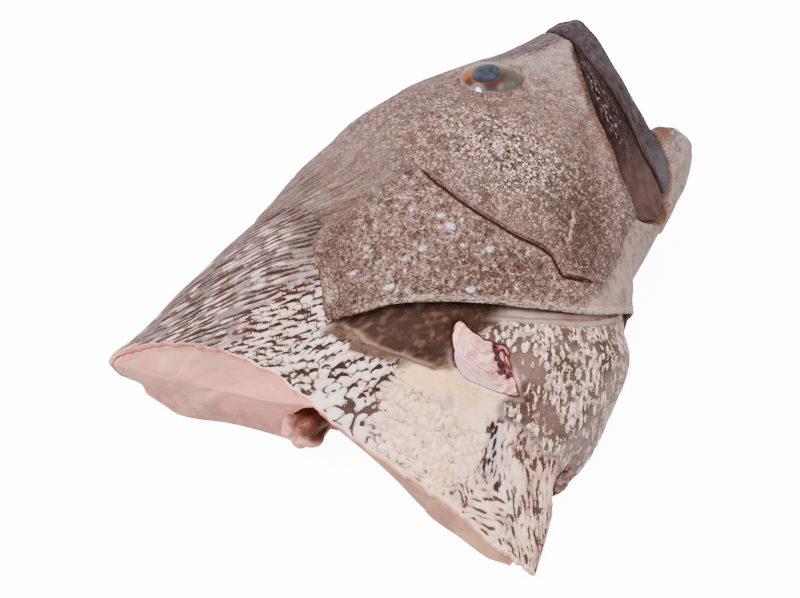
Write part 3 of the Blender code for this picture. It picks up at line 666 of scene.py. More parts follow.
def makeHeadSkin():
    degrees = spread(headSkin["columnsRight"], headSkin["columnsLeft"], 0.6, 95)
    rows, shade = headRows(degrees)
    station, level = (np.array([row[k] for row in rows]) for k in range(2))
    d = np.broadcast_to(degrees, station.shape)
    outer = ease(1.0, 0.0, np.abs(shade))
    points = onTable(freeSkin(station, d, level + headDetail(station, d, outer) * offTable(station, d)))
    inner = []
    for share in np.linspace(1.0, 0.06, headSkin["mouthRows"]):
        along = mix(rimLine(np.abs(degrees)) + 2.0, headSkin["cavityEnd"], share)
        narrow = mix(0.7, 0.25, share ** 1.5)
        whole = onOval(along, degrees)
        heart = lay(along, mix(-36.0, -42.0, share) + 0 * along, 0 * along)
        folds = 1 + 0.03 * np.sin(np.radians(degrees) * 9) * np.sin(share * 3)
        inner.append(onTable(mix(heart, whole, (narrow * folds)[:, None]), 2.0))
    points = np.concatenate([inner, points], 0)

    def padded(values, value):
        return np.concatenate([np.full((len(inner), len(degrees)), value), values], 0)

    station, down, shade = padded(station, 90.0), padded(np.abs(d), 150.0), padded(shade, 1.0)
    low = curve(lines["cheekLow"], station)
    smoothSkin = 0.55 * ease(96, 74, station) + ease(low, low + 4, down) * ease(112, 118, down)
    smoothSkin = smoothSkin + ease(148, 158, down) + ease(0.0, 0.5, np.abs(shade))
    smoothSkin = smoothSkin + 0.6 * ease(150, 185, station) * ease(64, 54, down)
    pale = spot(station, down, (151, 93), (20, 20)) + 0.3 * span(station, 110, 150, 190, 200)
    pale = pale * (1 - 0.9 * spot(station, down, (167, 122), (26, 12)))
    fields = {
        "tint": headTint(station, down, shade), "smoothSkin": np.clip(smoothSkin, 0, 1),
        "pale": np.clip(pale, 0, 1), "inside": shade, "along": station, "down": down,
        "behindRear": station - curve(lines["cheekRear"], down),
        "behindGill": station - curve(lines["gillEdge"], down),
    }
    points[:, -1] = points[:, 0]  # the columns run from -180 to 180, so the last is the first
    return shapeGrid("headSkin", closeEnds(points), fields)


def headMaterial():
    c = headSkin
    shop = Shop("headSkin")
    tint = shop.field("tint", True)
    smoothSkin, pale, inside, along, down, behindRear, behindGill = shop.fields(
        "smoothSkin", "pale", "inside", "along", "down", "behindRear", "behindGill")
    where = shop.place()
    fine = shop.noise(where, 1.0, 3.0, 0.65)
    mid = shop.noise(where, 0.33, 3.0, 0.6)
    broad = shop.noise(where, 0.085, 4.0, 0.62)
    bent = shop.warp(where, 0.5, 0.5)
    grain = shop.cells(bent, c["grain"], "DISTANCE_TO_EDGE")
    number = shop.part(shop.cells(bent, c["grain"], "F1", "Color"), 0)
    onCover = behindRear.above(2.0, 5.0) * down.span(58.0, 66.0, 126.0, 134.0)
    rough = 1.0 - smoothSkin * 0.85
    # mottling, then grains of different brightness, with painted shade in the broken dark seams between them
    patches = shop.noise(where, 0.15, 4.0, 0.66)
    seams = grain.below(0.21, 0.05) * mid.above(0.34, 0.5) * rough
    white = grain.above(0.07, 0.17) * number.above(0.3, 0.55) * mid.above(0.36, 0.5) * pale * rough
    threads = shop.noise(shop.warp(where, 0.35, 1.6), 0.9, 2.0, 0.5).near(0.5, 0.035)
    threads = threads * mid.above(0.44, 0.6) * rough
    colour = shop.coats(tint, [
        (c["rust"], broad.above(0.5, 0.6) * mid.above(0.4, 0.56) * 0.75),
        (c["mauve"], broad.below(0.46, 0.32) * 0.3),
        ((0.215, 0.12, 0.085), patches.above(0.53, 0.61) * rough * 0.6),
        (None, 1.0 + 0.45 * patches.below(0.47, 0.37) * rough),
        (None, 0.8 + 0.56 * number * rough + 0.22 * smoothSkin + 0.7 * (fine - 0.5) + 0.35 * (mid - 0.5)),
        (None, 1.0 + 1.1 * (broad - 0.5)),
        # painted shade in the seams between the grains
        (c["seam"], seams * (0.6 + 0.4 * pale)),
        (c["white"], white * (1.0 - onCover) * 0.9),
        # fine crossing strands where there are no pebbles
        ((0.64, 0.53, 0.49), threads * (1.0 - pale) * 0.7),
    ])
    # crisp dark and pale specks all over the scaly skin
    specks = shop.noise(where, 1.25, 2.0, 0.55, 0.8)
    chipNoise = shop.noise(where, 0.42, 4.0, 0.68, 0.6)
    onFlap = behindGill.above(-17.0, -13.0) * down.below(92.0, 88.0)
    colour = shop.coats(colour, [
        (c["seam"], specks.below(0.44, 0.38) * rough * mid.above(0.36, 0.54) * 0.75),
        ((0.62, 0.52, 0.49), specks.above(0.59, 0.66) * rough * mid.below(0.62, 0.46) * 0.45),
        # the gill cover: irregular pale chips and dark specks on an olive ground
        (c["seam"], onCover * chipNoise.below(0.48, 0.4) * fine.above(0.36, 0.52) * 0.9),
    ])
    chips = onCover * chipNoise.above(0.55, 0.65) * (1.0 - onFlap)
    colour = shop.blend(colour, c["white"], chips * (0.15 + 0.5 * number))
    for station, degrees, size in c["chips"]:
        back, below = along - station, down - degrees
        far = (back * back + below * below * 2.2).maths("SQRT")
        chip = (far + 6.0 * (chipNoise - 0.5)).below(size * 1.4, size * 0.4)
        colour = shop.blend(colour, (0.76, 0.73, 0.75), chip * fine.above(0.32, 0.5) * 0.7)
    # fringe of pale strands along the slit
    strands = shop.noise(shop.at(along * 0.55, behindGill * 1.3, down * 0.2), 1.0, 4.0, 0.7)
    fringe = behindGill.above(-5.5, -2.5) * down.above(90.0, 96.0) * strands.above(0.42, 0.58)
    onPlate = down.span(66.0, 71.0, 127.0, 131.0)
    wavy = behindRear + 1.6 * (mid - 0.5)
    vein = (down + 5.0 * (mid - 0.5)).near(118.5, 1.0) * along.span(161.0, 166.0, 182.0, 188.0)
    onNape = behindGill.above(-44.0, -10.0) * down.below(68.0, 50.0)
    furrow = shop.noise(shop.at(along * 0.34 + down * 0.58, down * 0.1), 1.0, 3.0, 0.62)
    wrinkle = shop.noise(shop.at(along * 0.1, down * 0.55), 1.0, 3.0, 0.6, 0.8)
    onTop = along.below(98.0, 84.0) * down.below(58.0, 53.0) * down.above(18.0, 26.0)
    brow = down.near(51.3, 1.3) * along.span(40.0, 50.0, 70.0, 78.0)
    wet = inside.above(0.3, 1.0)
    colour = shop.coats(colour, [
        ((0.64, 0.56, 0.53), fringe * 0.7),
        # thin dark line and pale rim behind the cheek plate, then a dark red groove of painted shade
        (c["seam"], onPlate * wavy.near(-2.3, 0.8) * 0.3),
        ((0.43, 0.29, 0.225), onPlate * behindRear.near(-0.7, 1.2) * 0.5),
        # painted shade: dark red along the groove behind the cheek plate
        (c["slitShade"], onPlate * behindRear.above(-0.1, 0.2) * wavy.below(1.9, 1.2) * 0.97),
        ((0.66, 0.58, 0.55), vein * fine.above(0.35, 0.55) * 0.8),
        # painted shade: near-black inside the gill slit's fold
        (c["slitShade"], inside.below(-0.55, -0.95) * down.above(60.0, 70.0)),
        # long wrinkles of the nape, like those of the back, and the snout's wrinkles, with painted sheen in
        # pale lilac streaks on the snout's top
        ((0.115, 0.07, 0.062), onNape * furrow.below(0.48, 0.41) * 0.85),
        ((0.6, 0.51, 0.5), onNape * furrow.above(0.56, 0.64) * mid.above(0.42, 0.56) * 0.6),
        ((0.085, 0.05, 0.055), onTop * wrinkle.below(0.46, 0.38) * 0.85),
        # painted sheen: pale lilac streaks on top of the snout
        ((0.5, 0.44, 0.475), onTop * wrinkle.above(0.56, 0.66) * 0.7),
        ((0.07, 0.04, 0.045), brow * mid.above(0.42, 0.58) * 0.8),
    ])
    bumps = [(mid, 0.35), (grain.above(0.0, 0.22) * rough, c["grainRelief"]), (fine, 0.12)]
    return shop.finish(colour, 0.52 - 0.1 * smoothSkin + 0.16 * (fine - 0.5) - 0.2 * wet, bumps,
                       shine=0.1, soft=(0.05, (0.004, 0.0018, 0.0012)))


head = makeHeadSkin()
dress(head, headMaterial(), "skin", "face_and_jaws", "gill_covers_and_collar")
print("head skin made")


# skin of the collar: scales behind the gill covers, the cut edge and the pocket behind it
collarSkin = {
    "columnsRight": 392, "columnsLeft": 66, "bandRows": 186, "pocketRows": 16, "girthAt": 262.0,
    "lean": [(0, -1.4), (17, -1.4), (56, -1.0), (74, -0.48), (95, 0.0), (180, 0.0)],
    "back": (0.4, 0.315, 0.305), "backInk": (0.095, 0.055, 0.05), "lozenge": (0.8, 0.705, 0.695),
    "flank": (0.8, 0.705, 0.685), "flankInk": (0.078, 0.036, 0.027), "cutInk": (0.13, 0.082, 0.066),
    "rust": (0.25, 0.115, 0.062), "band": (0.098, 0.038, 0.019), "bandPale": (0.285, 0.165, 0.115),
    "olive": (0.29, 0.195, 0.145), "ridge": (0.5, 0.37, 0.3), "yellow": (0.75, 0.64, 0.475),
    "cream": (0.755, 0.66, 0.59), "creamInk": (0.46, 0.355, 0.31), "smoothGrey": (0.39, 0.275, 0.238),
    "brown": (0.37, 0.25, 0.215), "breast": (0.225, 0.145, 0.125), "dash": (0.785, 0.675, 0.635),
    "streakInk": (0.185, 0.115, 0.098), "clusterInk": (0.055, 0.035, 0.036), "fold": (0.6, 0.51, 0.475),
    "lining": (0.7, 0.47, 0.41), "cutEdge": (0.76, 0.64, 0.55),
    "bandEdge": [(88, 262.5), (92.1, 261.7), (100, 263.1), (106.4, 261.4), (113.7, 259.9), (116.6, 254.5),
                 (119, 246), (122, 232)],
}
finPlace = {
    "at": (248.5, 121.5), "size": (8.5, 13.0), "slant": 0.25,
    # the torn outline of the cut fin root: share of its oval, by angle round it
    "torn": [(-180, 0.97), (-168, 0.78), (-153, 0.72), (-139, 0.66), (-130, 0.77), (-121, 0.84), (-115, 1.1),
             (-102, 1.04), (-87, 0.93), (-63, 0.89), (-48, 0.88), (-32, 1.0), (-22, 1.07), (-12, 1.08),
             (1, 1.02), (19, 0.89), (46, 0.83), (65, 0.86), (82, 0.94), (92, 1.0), (100, 0.88), (113, 0.79),
             (128, 0.75), (141, 0.79), (152, 0.78), (166, 0.95), (180, 0.97)],
}


def pocketLevel(station, degrees):
    down = np.abs(degrees)
    behind = station - curve(lines["gillEdge"], down)
    underSlit = ease(18, 8, behind) * ease(38, 54, down)
    return relief(station, degrees) * (1 - underSlit) - fish["skin"] - 6.2 * underSlit


def finReach(station, degrees):  # 1 on the torn outline of the cut fin root
    down = degrees - finPlace["at"][1]
    along = (station - finPlace["at"][0] - finPlace["slant"] * down) / finPlace["size"][0]
    below = np.sign(down) * np.abs(down / finPlace["size"][1]) ** (1 / 1.2)
    turn = np.degrees(np.arctan2(below, along))
    return np.hypot(along, below) / np.interp(turn, *zip(*finPlace["torn"]))


def girth(degrees):  # millimetres round the collar, and how far its wrinkles lean back
    angles = np.linspace(0, 180, 361)
    step = np.linalg.norm(np.diff(onOval(np.full(361, collarSkin["girthAt"]), angles), axis=0), axis=1)
    lean = np.interp(angles[1:], *zip(*collarSkin["lean"])) * step
    return [np.interp(np.abs(degrees), angles, np.concatenate(([0.0], np.cumsum(v)))) for v in (step, lean)]


def strokes(across, along, pitch, size, seed, lean=0.0, bend=0.0, keep=1.0, jitter=0.4, hook=0.0):
    # marks in staggered columns: millimetres inside the nearest one's outline, and a number of its own
    inside, number = np.full(across.shape, -1.5), np.zeros(across.shape)
    table = np.random.default_rng(seed).random((5, 256, 256))
    column0 = np.floor(across / pitch[0]).astype(int)
    for column in (column0 - 2, column0 - 1, column0, column0 + 1, column0 + 2):
        row0 = np.floor(along / pitch[1] - 0.5 * (column % 2)).astype(int)
        for row in (row0 - 1, row0, row0 + 1):
            a, b, c, e, f = (table[k][column % 256, row % 256] for k in range(5))
            u = across - (column + 0.5 + jitter * (a - 0.5)) * pitch[0]
            v = along - (row + 0.5 + 0.5 * (column % 2) + jitter * (b - 0.5)) * pitch[1]
            half, thick = 0.5 * size[1] * (0.6 + 0.8 * c), 0.5 * size[0] * (0.55 + 0.9 * e)
            off = u - lean * v - bend * v ** 2 - 0.5 * hook * (np.sqrt(v ** 2 + 0.4) - v)
            mark = thick * (1 - (v / half) ** 2) - np.abs(off)
            mark = np.where(f < keep, mark, -1.5)
            number = np.where(mark > inside, a, number)
            inside = np.maximum(mark, inside)
    return inside, number


def collarPattern(s, d):  # colours, marks and heights of the collar, region by region
    c = collarSkin
    down = np.abs(d)
    around, leaning = girth(d)
    b = np.sign(d) * around
    m, n, t = uneven(s / 14, b / 14, 61), uneven(s / 5, b / 5, 87), uneven(s / 2.2, b / 2.2, 89)
    sw, bw = s + 1.3 * uneven(s / 8, b / 8, 51), b + 1.3 * uneven(s / 8, b / 8, 57)
    behind = s - curve(lines["gillEdge"], down)
    pastBand = s - curve(c["bandEdge"], down)
    onSide = ease(122, 117, down) * ease(87, 91, down)
    band = ease(0.9, -0.6, pastBand + 0.9 * n) * onSide
    tint, inkTint = (np.zeros(s.shape + (3,)) + np.array(c[key]) for key in ("flank", "flankInk"))
    # the flank: white lozenges with dark crescents between them
    up, upNumber = strokes(sw - 0.24 * bw, bw, (1.6, 7.5), (1.45, 5.6), 71, -0.6, 0.05, hook=0.7)
    low, lowNumber = strokes(sw, bw - 0.5 * sw, (2.3, 7.7), (1.75, 5.6), 73, -0.1, 0.05, hook=1.7)
    outline = scaleField(sw, bw - 0.3 * sw, (4.4, 3.8), 74, 0.25)[0]
    ink = np.maximum(mix(up, low, ease(84, 92, down)) + 0.45 * t, 3.2 * (outline - 0.92) + 0.35 * n)
    number = mix(upNumber, lowNumber, ease(84, 92, down))
    smooth = 0.0 * s

    def region(share, colour, marks=None, markColour=None, smoothness=0.0):
        nonlocal tint, ink, inkTint, smooth
        share = np.clip(share, 0, 1)
        tint = toned(tint, colour, share)
        ink = ink - 1.6 * ease(0.35, 1.0, share)
        if marks is not None:
            ink = np.maximum(ink, marks - 1.6 * ease(0.65, 0.0, share))
        if markColour is not None:
            inkTint = toned(inkTint, markColour, share)
        smooth = mix(smooth, smoothness, share)

    tint = toned(tint, (0.64, 0.55, 0.545), 0.7 * ease(0.5, 0.9, number) * ease(0.4, -0.2, m))
    # big merged patches by the cut, with winding outlines
    winding = np.abs(uneven(sw / 4.6, bw / 4.6, 75, 2))
    patches = ease(276, 282, s + 3 * n) * ease(93, 99, down) * ease(126, 118, down + 4 * n)
    region(patches, c["flank"], 3.4 * (0.16 - winding) + 0.35 * t, c["cutInk"])
    # the back: thin dark wrinkles on grey, with paler lozenges
    p = sw - leaning
    wrinkles = strokes(p, bw, (3.7, 5.0), (1.35, 6.2), 77, 0.0, 0.0, 0.92, 0.6)[0]
    often = mix(0.25, 0.95, ease(20, 52, down + 6 * m))
    lozenge, lozengeNumber = strokes(p + 1.9, bw, (3.7, 4.4), (2.6, 3.6), 79, 0.0, 0.0, often, 0.6)
    tone = toned(c["back"], c["lozenge"], ease(-0.3, 0.4, lozenge) * (0.5 + 0.5 * lozengeNumber))
    tone = toned(tone, (0.345, 0.255, 0.24), 0.8 * ease(18, 2, behind + 6 * m))
    region(ease(76, 56, down + 8 * m + 3 * n), tone, wrinkles + 0.38 * t + 0.12, c["backInk"])
    # cream scales, the smooth yellow patch, the dark band under the flap and its thin ridge
    edge, ahead, creamNumber = scaleField(sw + 0.5 * t, bw - 0.1 * sw + 0.5 * n, (3.9, 3.0), 81, 0.38)
    tone = toned(c["cream"], c["flank"], 0.9 * ease(0.3, 0.9, creamNumber) * ease(0.9, 0.3, edge))
    cream = ease(106, 113, down - 0.25 * (s - 275) + 3 * n) * ease(139, 131, down + 3 * m)
    cream = cream * ease(264, 268, s + 2 * m)
    marks = 2.0 * (edge - 0.93) - 0.8 * ease(0.35, -0.2, ahead) + 0.45 * n + 0.2 * t
    region(cream, tone, marks, c["creamInk"], 0.4)
    soft = ease(116, 121, down + 2 * n) * ease(136, 131, down + 3 * m)
    soft = soft * ease(272, 266, s + 2 * m) * ease(246, 252, s)
    across, along = 0.597 * sw - 0.802 * bw, 0.802 * sw + 0.597 * bw
    drips = strokes(across, along, (5.5, 11), (2.0, 8.0), 83, keep=0.7)[0]
    tone = toned(c["cream"], c["smoothGrey"], 0.45 * ease(-0.2, 0.5, m))
    region(soft, toned(tone, c["dash"], 0.7 * ease(-0.3, 0.6, drips)), smoothness=0.8)
    tone = toned(c["olive"], c["ridge"], 0.8 * ease(-0.2, 0.7, n + 0.7 * t))
    region(ease(4.4, 3.0, pastBand + 2.0 * n + 0.8 * t) * onSide, tone, 0.9 * t - 0.25, c["band"], 0.6)
    yellow = spot(s, down, (263.8, 113), (4.6, 4.5)) + 0.9 * spot(s, down, (260.5, 122), (3.6, 7))
    tone = toned(c["yellow"], c["dash"], 0.6 * ease(0.0, 0.7, n + 0.6 * t))
    region(1.5 * yellow * ease(-0.5, 1.0, pastBand), tone, smoothness=1.0)
    lighter = 0.9 * ease(111, 117, down + 4 * n) * ease(248, 256, s + 3 * n)
    lighter = np.clip(ease(-0.25, 0.85, 0.35 * n + 1.1 * t) + lighter, 0, 1)
    tone = toned(c["band"], c["bandPale"], lighter)
    region(band, tone, smoothness=0.5)
    ridge = bell(pastBand + 0.5 + 0.8 * n, 0.75) * span(down, 88, 93, 114, 119)
    region(0.8 * ridge * ease(-0.5, 0.2, t + 0.4), c["ridge"], smoothness=0.5)
    # the breast: white dashes in columns on brown; the smooth patches by the cut fin
    side, back = 0.69 * sw - 0.72 * bw, 0.72 * sw + 0.69 * bw
    dashes = strokes(side, back, (3.3, 5.6), (1.7, 5.4), 85, 0.0, 0.02, 0.9, 0.7)[0]
    network = np.abs(uneven(side / 2.6, back / 6.5, 201, 2))
    dashes = np.maximum(dashes - 0.18, 2.4 * (0.07 - network))
    breast = np.maximum(ease(113, 117, down + 2 * n) * ease(247, 242, s + 2 * m),
                        ease(131, 134, down + 2 * n) * ease(263, 258, s + 3 * n) * ease(240, 243, s))
    tone = toned(c["breast"], (0.36, 0.26, 0.235), ease(-0.3, 0.6, m + 0.5 * n))
    pale = ease(150, 162, down + 4 * m)
    tone = toned(tone, (0.5, 0.43, 0.41), 0.9 * pale)
    region(breast, tone, dashes + 0.4 * t + 0.22 * m - 0.12 * pale, c["dash"])
    region(spot(s, down, (241, 131), (5.5, 7.5)) * 1.6 - 0.3, c["smoothGrey"], dashes - 0.75, c["dash"], 0.7)
    region(spot(s, down, (250, 146), (5, 7)) * 1.5 - 0.3, c["brown"], dashes - 0.5, c["fold"], 0.5)
    # streaks that run down to the belly, and the dark cluster in front of them
    streak = strokes(across + 1.1 * n, along, (2.7, 7.0), (1.35, 6.8), 91, 0.0, 0.02, 0.85, 0.7)[0]
    streak = np.maximum(streak, 2.2 * (0.1 - np.abs(uneven(across / 2.8, along / 6.0, 205, 2))))
    streaks = ease(133, 137, down + 3 * m) * ease(257, 263, s + 3 * n)
    tone = toned(c["dash"], (0.52, 0.42, 0.39), 0.75 * ease(0.0, 0.6, m + 0.4 * n))
    region(streaks, tone, streak + 0.4 * t + 0.35 * m - 0.12, c["streakInk"])
    belt = strokes(sw + 0.24 * bw, bw, (3.0, 6.5), (1.5, 6.0), 93, 0.0, 0.0, 0.75, 0.5)[0]
    belted = ease(284, 288, s + 2 * n) * span(down, 136, 140, 147, 152)
    region(belted, tone, belt + 0.45 * t - 0.1, c["streakInk"])
    far = np.abs(down - curve([(262, 133.5), (270, 137), (279, 139.5), (286, 144)], s)) / 3.2
    cluster = ease(1.3, 0.5, far + 0.5 * n) * span(s, 261, 266, 282, 287)
    dabs = strokes(across, along, (2.3, 4.6), (1.3, 4.0), 99, 0.35, 0.05, 0.95, 0.9)[0]
    region(cluster, (0.66, 0.6, 0.6), dabs + 0.6 * t + 0.3 * n + 0.12, c["clusterInk"])
    # folds along the slit, below the gill cover's edge
    folds = ease(-6, -3, behind) * ease(8.5, 5.5, behind + 2 * m) * span(down, 111, 117, 150, 160)
    crease = ease(0.1, 0.9, np.sin(1.5 * behind + down / 6 + 1.5 * m) + 0.5 * n)[..., None]
    region(folds, mix(np.array(c["fold"]), np.array(c["brown"]), 0.7 * crease), smoothness=0.6)
    # heights in millimetres: marks are hollows between scales, or dashes that stand up
    raised = np.clip(np.maximum(breast, 0) - streaks, 0, 1)
    scaly = ease(2, 7, behind) * (1 - 0.8 * band)
    height = mix(-0.55, 0.45, raised) * ease(-0.7, 0.35, ink) * scaly
    height = height + 0.12 * cream * ease(1.0, 0.3, edge) * (1 - streaks)
    height = height + 0.28 * folds * np.sin(1.5 * behind + down / 6)
    height = height + 0.55 * ridge + 0.35 * band * n + 0.22 * t * (1 - smooth) * scaly
    return tint, ink, inkTint, height, smooth


def makeCollarSkin():
    degrees = spread(collarSkin["columnsRight"], collarSkin["columnsLeft"], 0.5, 115)
    down = np.abs(degrees)
    gill, cut = curve(lines["gillEdge"], down), cutEdge(degrees)
    slit = ease(50, 60, down) * offTable(gill, degrees)
    rows = [(gill - 3 - 7 * slit, relief(gill - 3 - 7 * slit, degrees) - 9.0, 1.0),
            (gill - 3 - 7 * slit, relief(gill - 3 - 7 * slit, degrees) - 1.3, 1.0)]
    start = gill + mix(-0.6, -8.0, slit)
    for share in np.linspace(0, 1, collarSkin["bandRows"]):
        station = mix(start, cut - 0.9, share)
        tuck = 0.35 * ease(1.2, -0.6, station - gill) * (1 - slit)
        rows.append((station, relief(station, degrees) - tuck, 0.0))
    for back, drop in ((-0.35, 0.12), (-0.05, 0.5), (0.05, 1.0), (0.05, 1.6), (0.0, 2.2), (0.0, 2.8)):
        rows.append((cut + back, relief(cut, degrees) - drop, 0.35 + 0.1 * drop))
    outerCount = len(rows)
    for share in np.linspace(0.04, 1.0, collarSkin["pocketRows"]):
        station = mix(cut, fish["pocketFront"], share)
        rows.append((station, pocketLevel(station, degrees), 1.0))
    station, level, lining = (np.array([row[k] + 0 * degrees for row in rows]) for k in range(3))
    d = np.broadcast_to(degrees, station.shape)
    tone, ink, inkTint, height, smooth = collarPattern(station, d)
    outer = ease(0.5, 0.1, lining) * offTable(station, d)
    # ragged cut: the last scales stand over the edge
    ragged = 0.9 * uneven(d / 2.2, 0 * d, 97, 2) * ease(cut - 14, cut, station)
    fin = finReach(station, d)
    lip = bell(fin - 1.12, 0.08) * (0.6 + 0.6 * noiseField(d / 1.7, station / 1.7, 93))
    sink = -5.4 * ease(1.05, 0.88, fin) + 0.9 * lip
    wave = 0.9 * uneven(station / 24, d / 20, 95, 2)
    whole = freeSkin(station + ragged, d, level + outer * (height + sink + wave * ease(0, 14, cut - station)))
    points = onTable(whole)
    points[outerCount:] = onTable(whole[outerCount:], fish["skin"], 0.6)
    points[:, -1] = points[:, 0]
    c = collarSkin
    edgeTone = toned((0.71, 0.53, 0.465), c["cutEdge"], ease(60, 95, down))
    tone = mix(tone, edgeTone, span(lining, 0.3, 0.4, 0.6, 0.9)[..., None])
    tone = toned(tone, c["lining"], ease(0.6, 1.0, lining))
    lowerLeft = ease(-0.3, 0.3, (station - finPlace["at"][0]) / 8 + (d - finPlace["at"][1]) / 22)
    torn = bell(fin - 1.09, 0.07) * ease(0.3, 0.0, lining)
    tone = toned(tone, (0.72, 0.61, 0.58), 0.35 * torn * lowerLeft)
    tone = toned(tone, (0.33, 0.07, 0.055), 0.85 * ease(1.02, 0.94, fin) * ease(0.3, 0.0, lining))
    shadow = ease(0.5, -3.0, station - gill) * ease(60, 70, down) * slit
    tone = toned(tone, (0.06, 0.022, 0.016), shadow)
    bare = ease(0.0, 0.3, lining) + torn * lowerLeft + ease(1.1, 1.0, fin) + shadow
    ink = mix(ink, -1.5, np.clip(bare, 0, 1))
    fields = {"tint": tone, "inkTint": inkTint, "ink": ink, "smoothSkin": smooth, "lining": lining}
    return shapeGrid("collarSkin", closeEnds(points), fields)


def collarMaterial():
    shop = Shop("collarSkin")
    tint, inkTint = shop.field("tint", True), shop.field("inkTint", True)
    ink, smooth, lining = shop.fields("ink", "smoothSkin", "lining")
    where = shop.place()
    fine = shop.noise(where, 1.1, 4.0, 0.68)
    mid = shop.noise(where, 0.38, 3.0, 0.6)
    broad = shop.noise(where, 0.12, 3.0, 0.6)
    # mottled ground with painted shade that darkens it towards the marks, then marks whose outlines are
    # frayed by the noise, with a rusty edge here and there
    colour = shop.scale(tint, 0.8 + 0.34 * fine + 0.22 * (mid - 0.5) * (1.0 - 0.5 * smooth))
    rosy = shop.make("ShaderNodeMix", {"data_type": "RGBA", "blend_type": "MULTIPLY"},
                     {0: 1.0, 6: colour, 7: (0.86, 0.72, 0.66, 1.0)}, 2)
    colour = shop.blend(colour, rosy, broad.above(0.46, 0.7))
    frayed = ink + 1.3 * (fine - 0.5) + 0.7 * (mid - 0.5)
    rusty = frayed.above(-0.55, -0.05) * mid.above(0.46, 0.6) * ink.above(-1.2, -0.7)
    # painted shade: the ground darkens towards the marks, where the skin dips between the scales
    colour = shop.blend(colour, shop.scale(colour, 0.8), frayed.above(-1.3, -0.1))
    colour = shop.blend(colour, shop.blend(colour, inkTint, 0.6), rusty)
    brown = mid.above(0.48, 0.62) * ink.below(0.9, 0.2) * 0.8
    warm = shop.blend(shop.scale(inkTint, 0.55 + 0.9 * mid), (0.21, 0.105, 0.062), brown)
    lining = lining.above(0.6, 1.0)
    colour = shop.blend(colour, warm, frayed.above(-0.08, 0.16))
    bumps = [(mid, 0.35), (fine, 0.28)]
    return shop.finish(colour, 0.46 + 0.16 * (fine - 0.5) - 0.1 * smooth - 0.15 * lining, bumps,
                       shine=0.07, soft=(0.06, (0.004, 0.002, 0.0014)))


collar = makeCollarSkin()
dress(collar, collarMaterial(), "skin", "gill_covers_and_collar")
print("collar skin made")


# lip and upper jaw blades
upperLip = {"end": 158.0, "columns": 300, "ridges": 0.16}
jawBlade = {"from": 59.0, "to": 166.0, "columns": 150, "grooves": 0.28}


def roundOff(outline):  # cuts the corners of a closed outline, three times over
    outline = np.array(outline, float)
    for cut in range(3):
        after = np.roll(outline, -1, axis=0)
        outline = np.stack([mix(outline, after, 0.25), mix(outline, after, 0.75)], 1).reshape(-1, 2)
    return outline


def makeUpperLip():
    degrees = np.linspace(-upperLip["end"] + 0.4, upperLip["end"] - 0.4, upperLip["columns"])
    rows, top = [], []
    for d in degrees:
        down = abs(d)
        lip = curve(lines["lipFront"], down)
        rear = min(curve(lines["lipRear"], down) - 0.3, curve(lines["cheekFront"], down) - 0.9)
        wrap = ease(106, 100, down)
        seat = fish["gap"] - seatDepth(down)
        depth = mix(-seat, 1.6 * seatDepth(down), wrap)
        outline = [(lip + mix(2.2, 3.6, wrap), -depth), (lip + 1.2, -depth), (lip + 0.2, -0.75 * depth),
                   (lip, -0.4 * depth), (lip + 0.6, -0.2), (lip + 2.2, 1.0), (mix(lip, rear, 0.45), 1.7),
                   (mix(lip, rear, 0.78), 1.3), (rear - 0.4, 0.4), (rear, -1.2), (rear, seat)]
        outline += [(mix(rear, lip + 4.0, share), seat) for share in (0.33, 0.66, 1.0)]
        outline = roundOff(outline)
        keep = mix(0.3, 1.0, math.sqrt(float(ease(upperLip["end"], upperLip["end"] - 16, down))))
        station = mix(mix(lip, rear, 0.5), outline[:, 0], keep)
        level = mix(-2.0, outline[:, 1], keep)
        share = (station - lip) / (rear - lip + 1e-6)
        crest = ease(-1.0, 0.5, level)
        sway = 2.0 * noiseField(share * 2, down / 14, 101)
        level = level + upperLip["ridges"] * crest * np.sin(share * 17 + sway)
        level = level + 0.35 * crest * uneven(share * 1.5, down / 9, 103, 2)
        rows.append(onTable(freeSkin(station, d, level), 0.5))
        top.append(share)
    points, top = closeRound(np.array(rows)), closeRound(np.array(top))
    down = np.abs(degrees)[:, None] + 0 * top
    return shapeGrid("upperLip", closeEnds(points), {"share": top, "down": down / 100})


def makeJawBlade(name, side):
    downs = np.linspace(jawBlade["from"] + 0.3, jawBlade["to"] - 0.3, jawBlade["columns"])
    rows, top = [], []
    seat = fish["gap"] - fish["seat"]
    outline = roundOff([(0.0, seat), (0.33, seat), (0.66, seat), (1.0, seat), (1.0, -2.4), (0.95, -1.3),
                        (0.7, 0.1), (0.4, 0.95), (0.12, 0.4), (0.0, -0.9)])
    share = outline[:, 0]
    for down in downs:
        front, rear = curve(lines["lipRear"], down) + 0.3, curve(lines["cheekFront"], down) - 0.8
        keep = mix(0.35, 1.0, math.sqrt(float(ease(jawBlade["to"], jawBlade["to"] - 12, down)
                                              * ease(jawBlade["from"], jawBlade["from"] + 6, down))))
        station = mix(front, rear, mix(0.5, share, keep))
        level = mix(-2.5, outline[:, 1], keep)
        crest = ease(-2.6, -0.5, level)
        sway = 2.2 * noiseField(share * 2, down / 9, 107)
        level = level + jawBlade["grooves"] * crest * np.sin(share * 15 + sway)
        level = level - 0.7 * crest * bell(share - 0.62, 0.07) * ease(150, 130, down)
        rows.append(onTable(freeSkin(station, side * down, level), 0.5))
        top.append(share)
    points, top = closeRound(np.array(rows)), closeRound(np.array(top))
    return shapeGrid(name, closeEnds(points), {"share": top, "down": downs[:, None] / 100 + 0 * top})


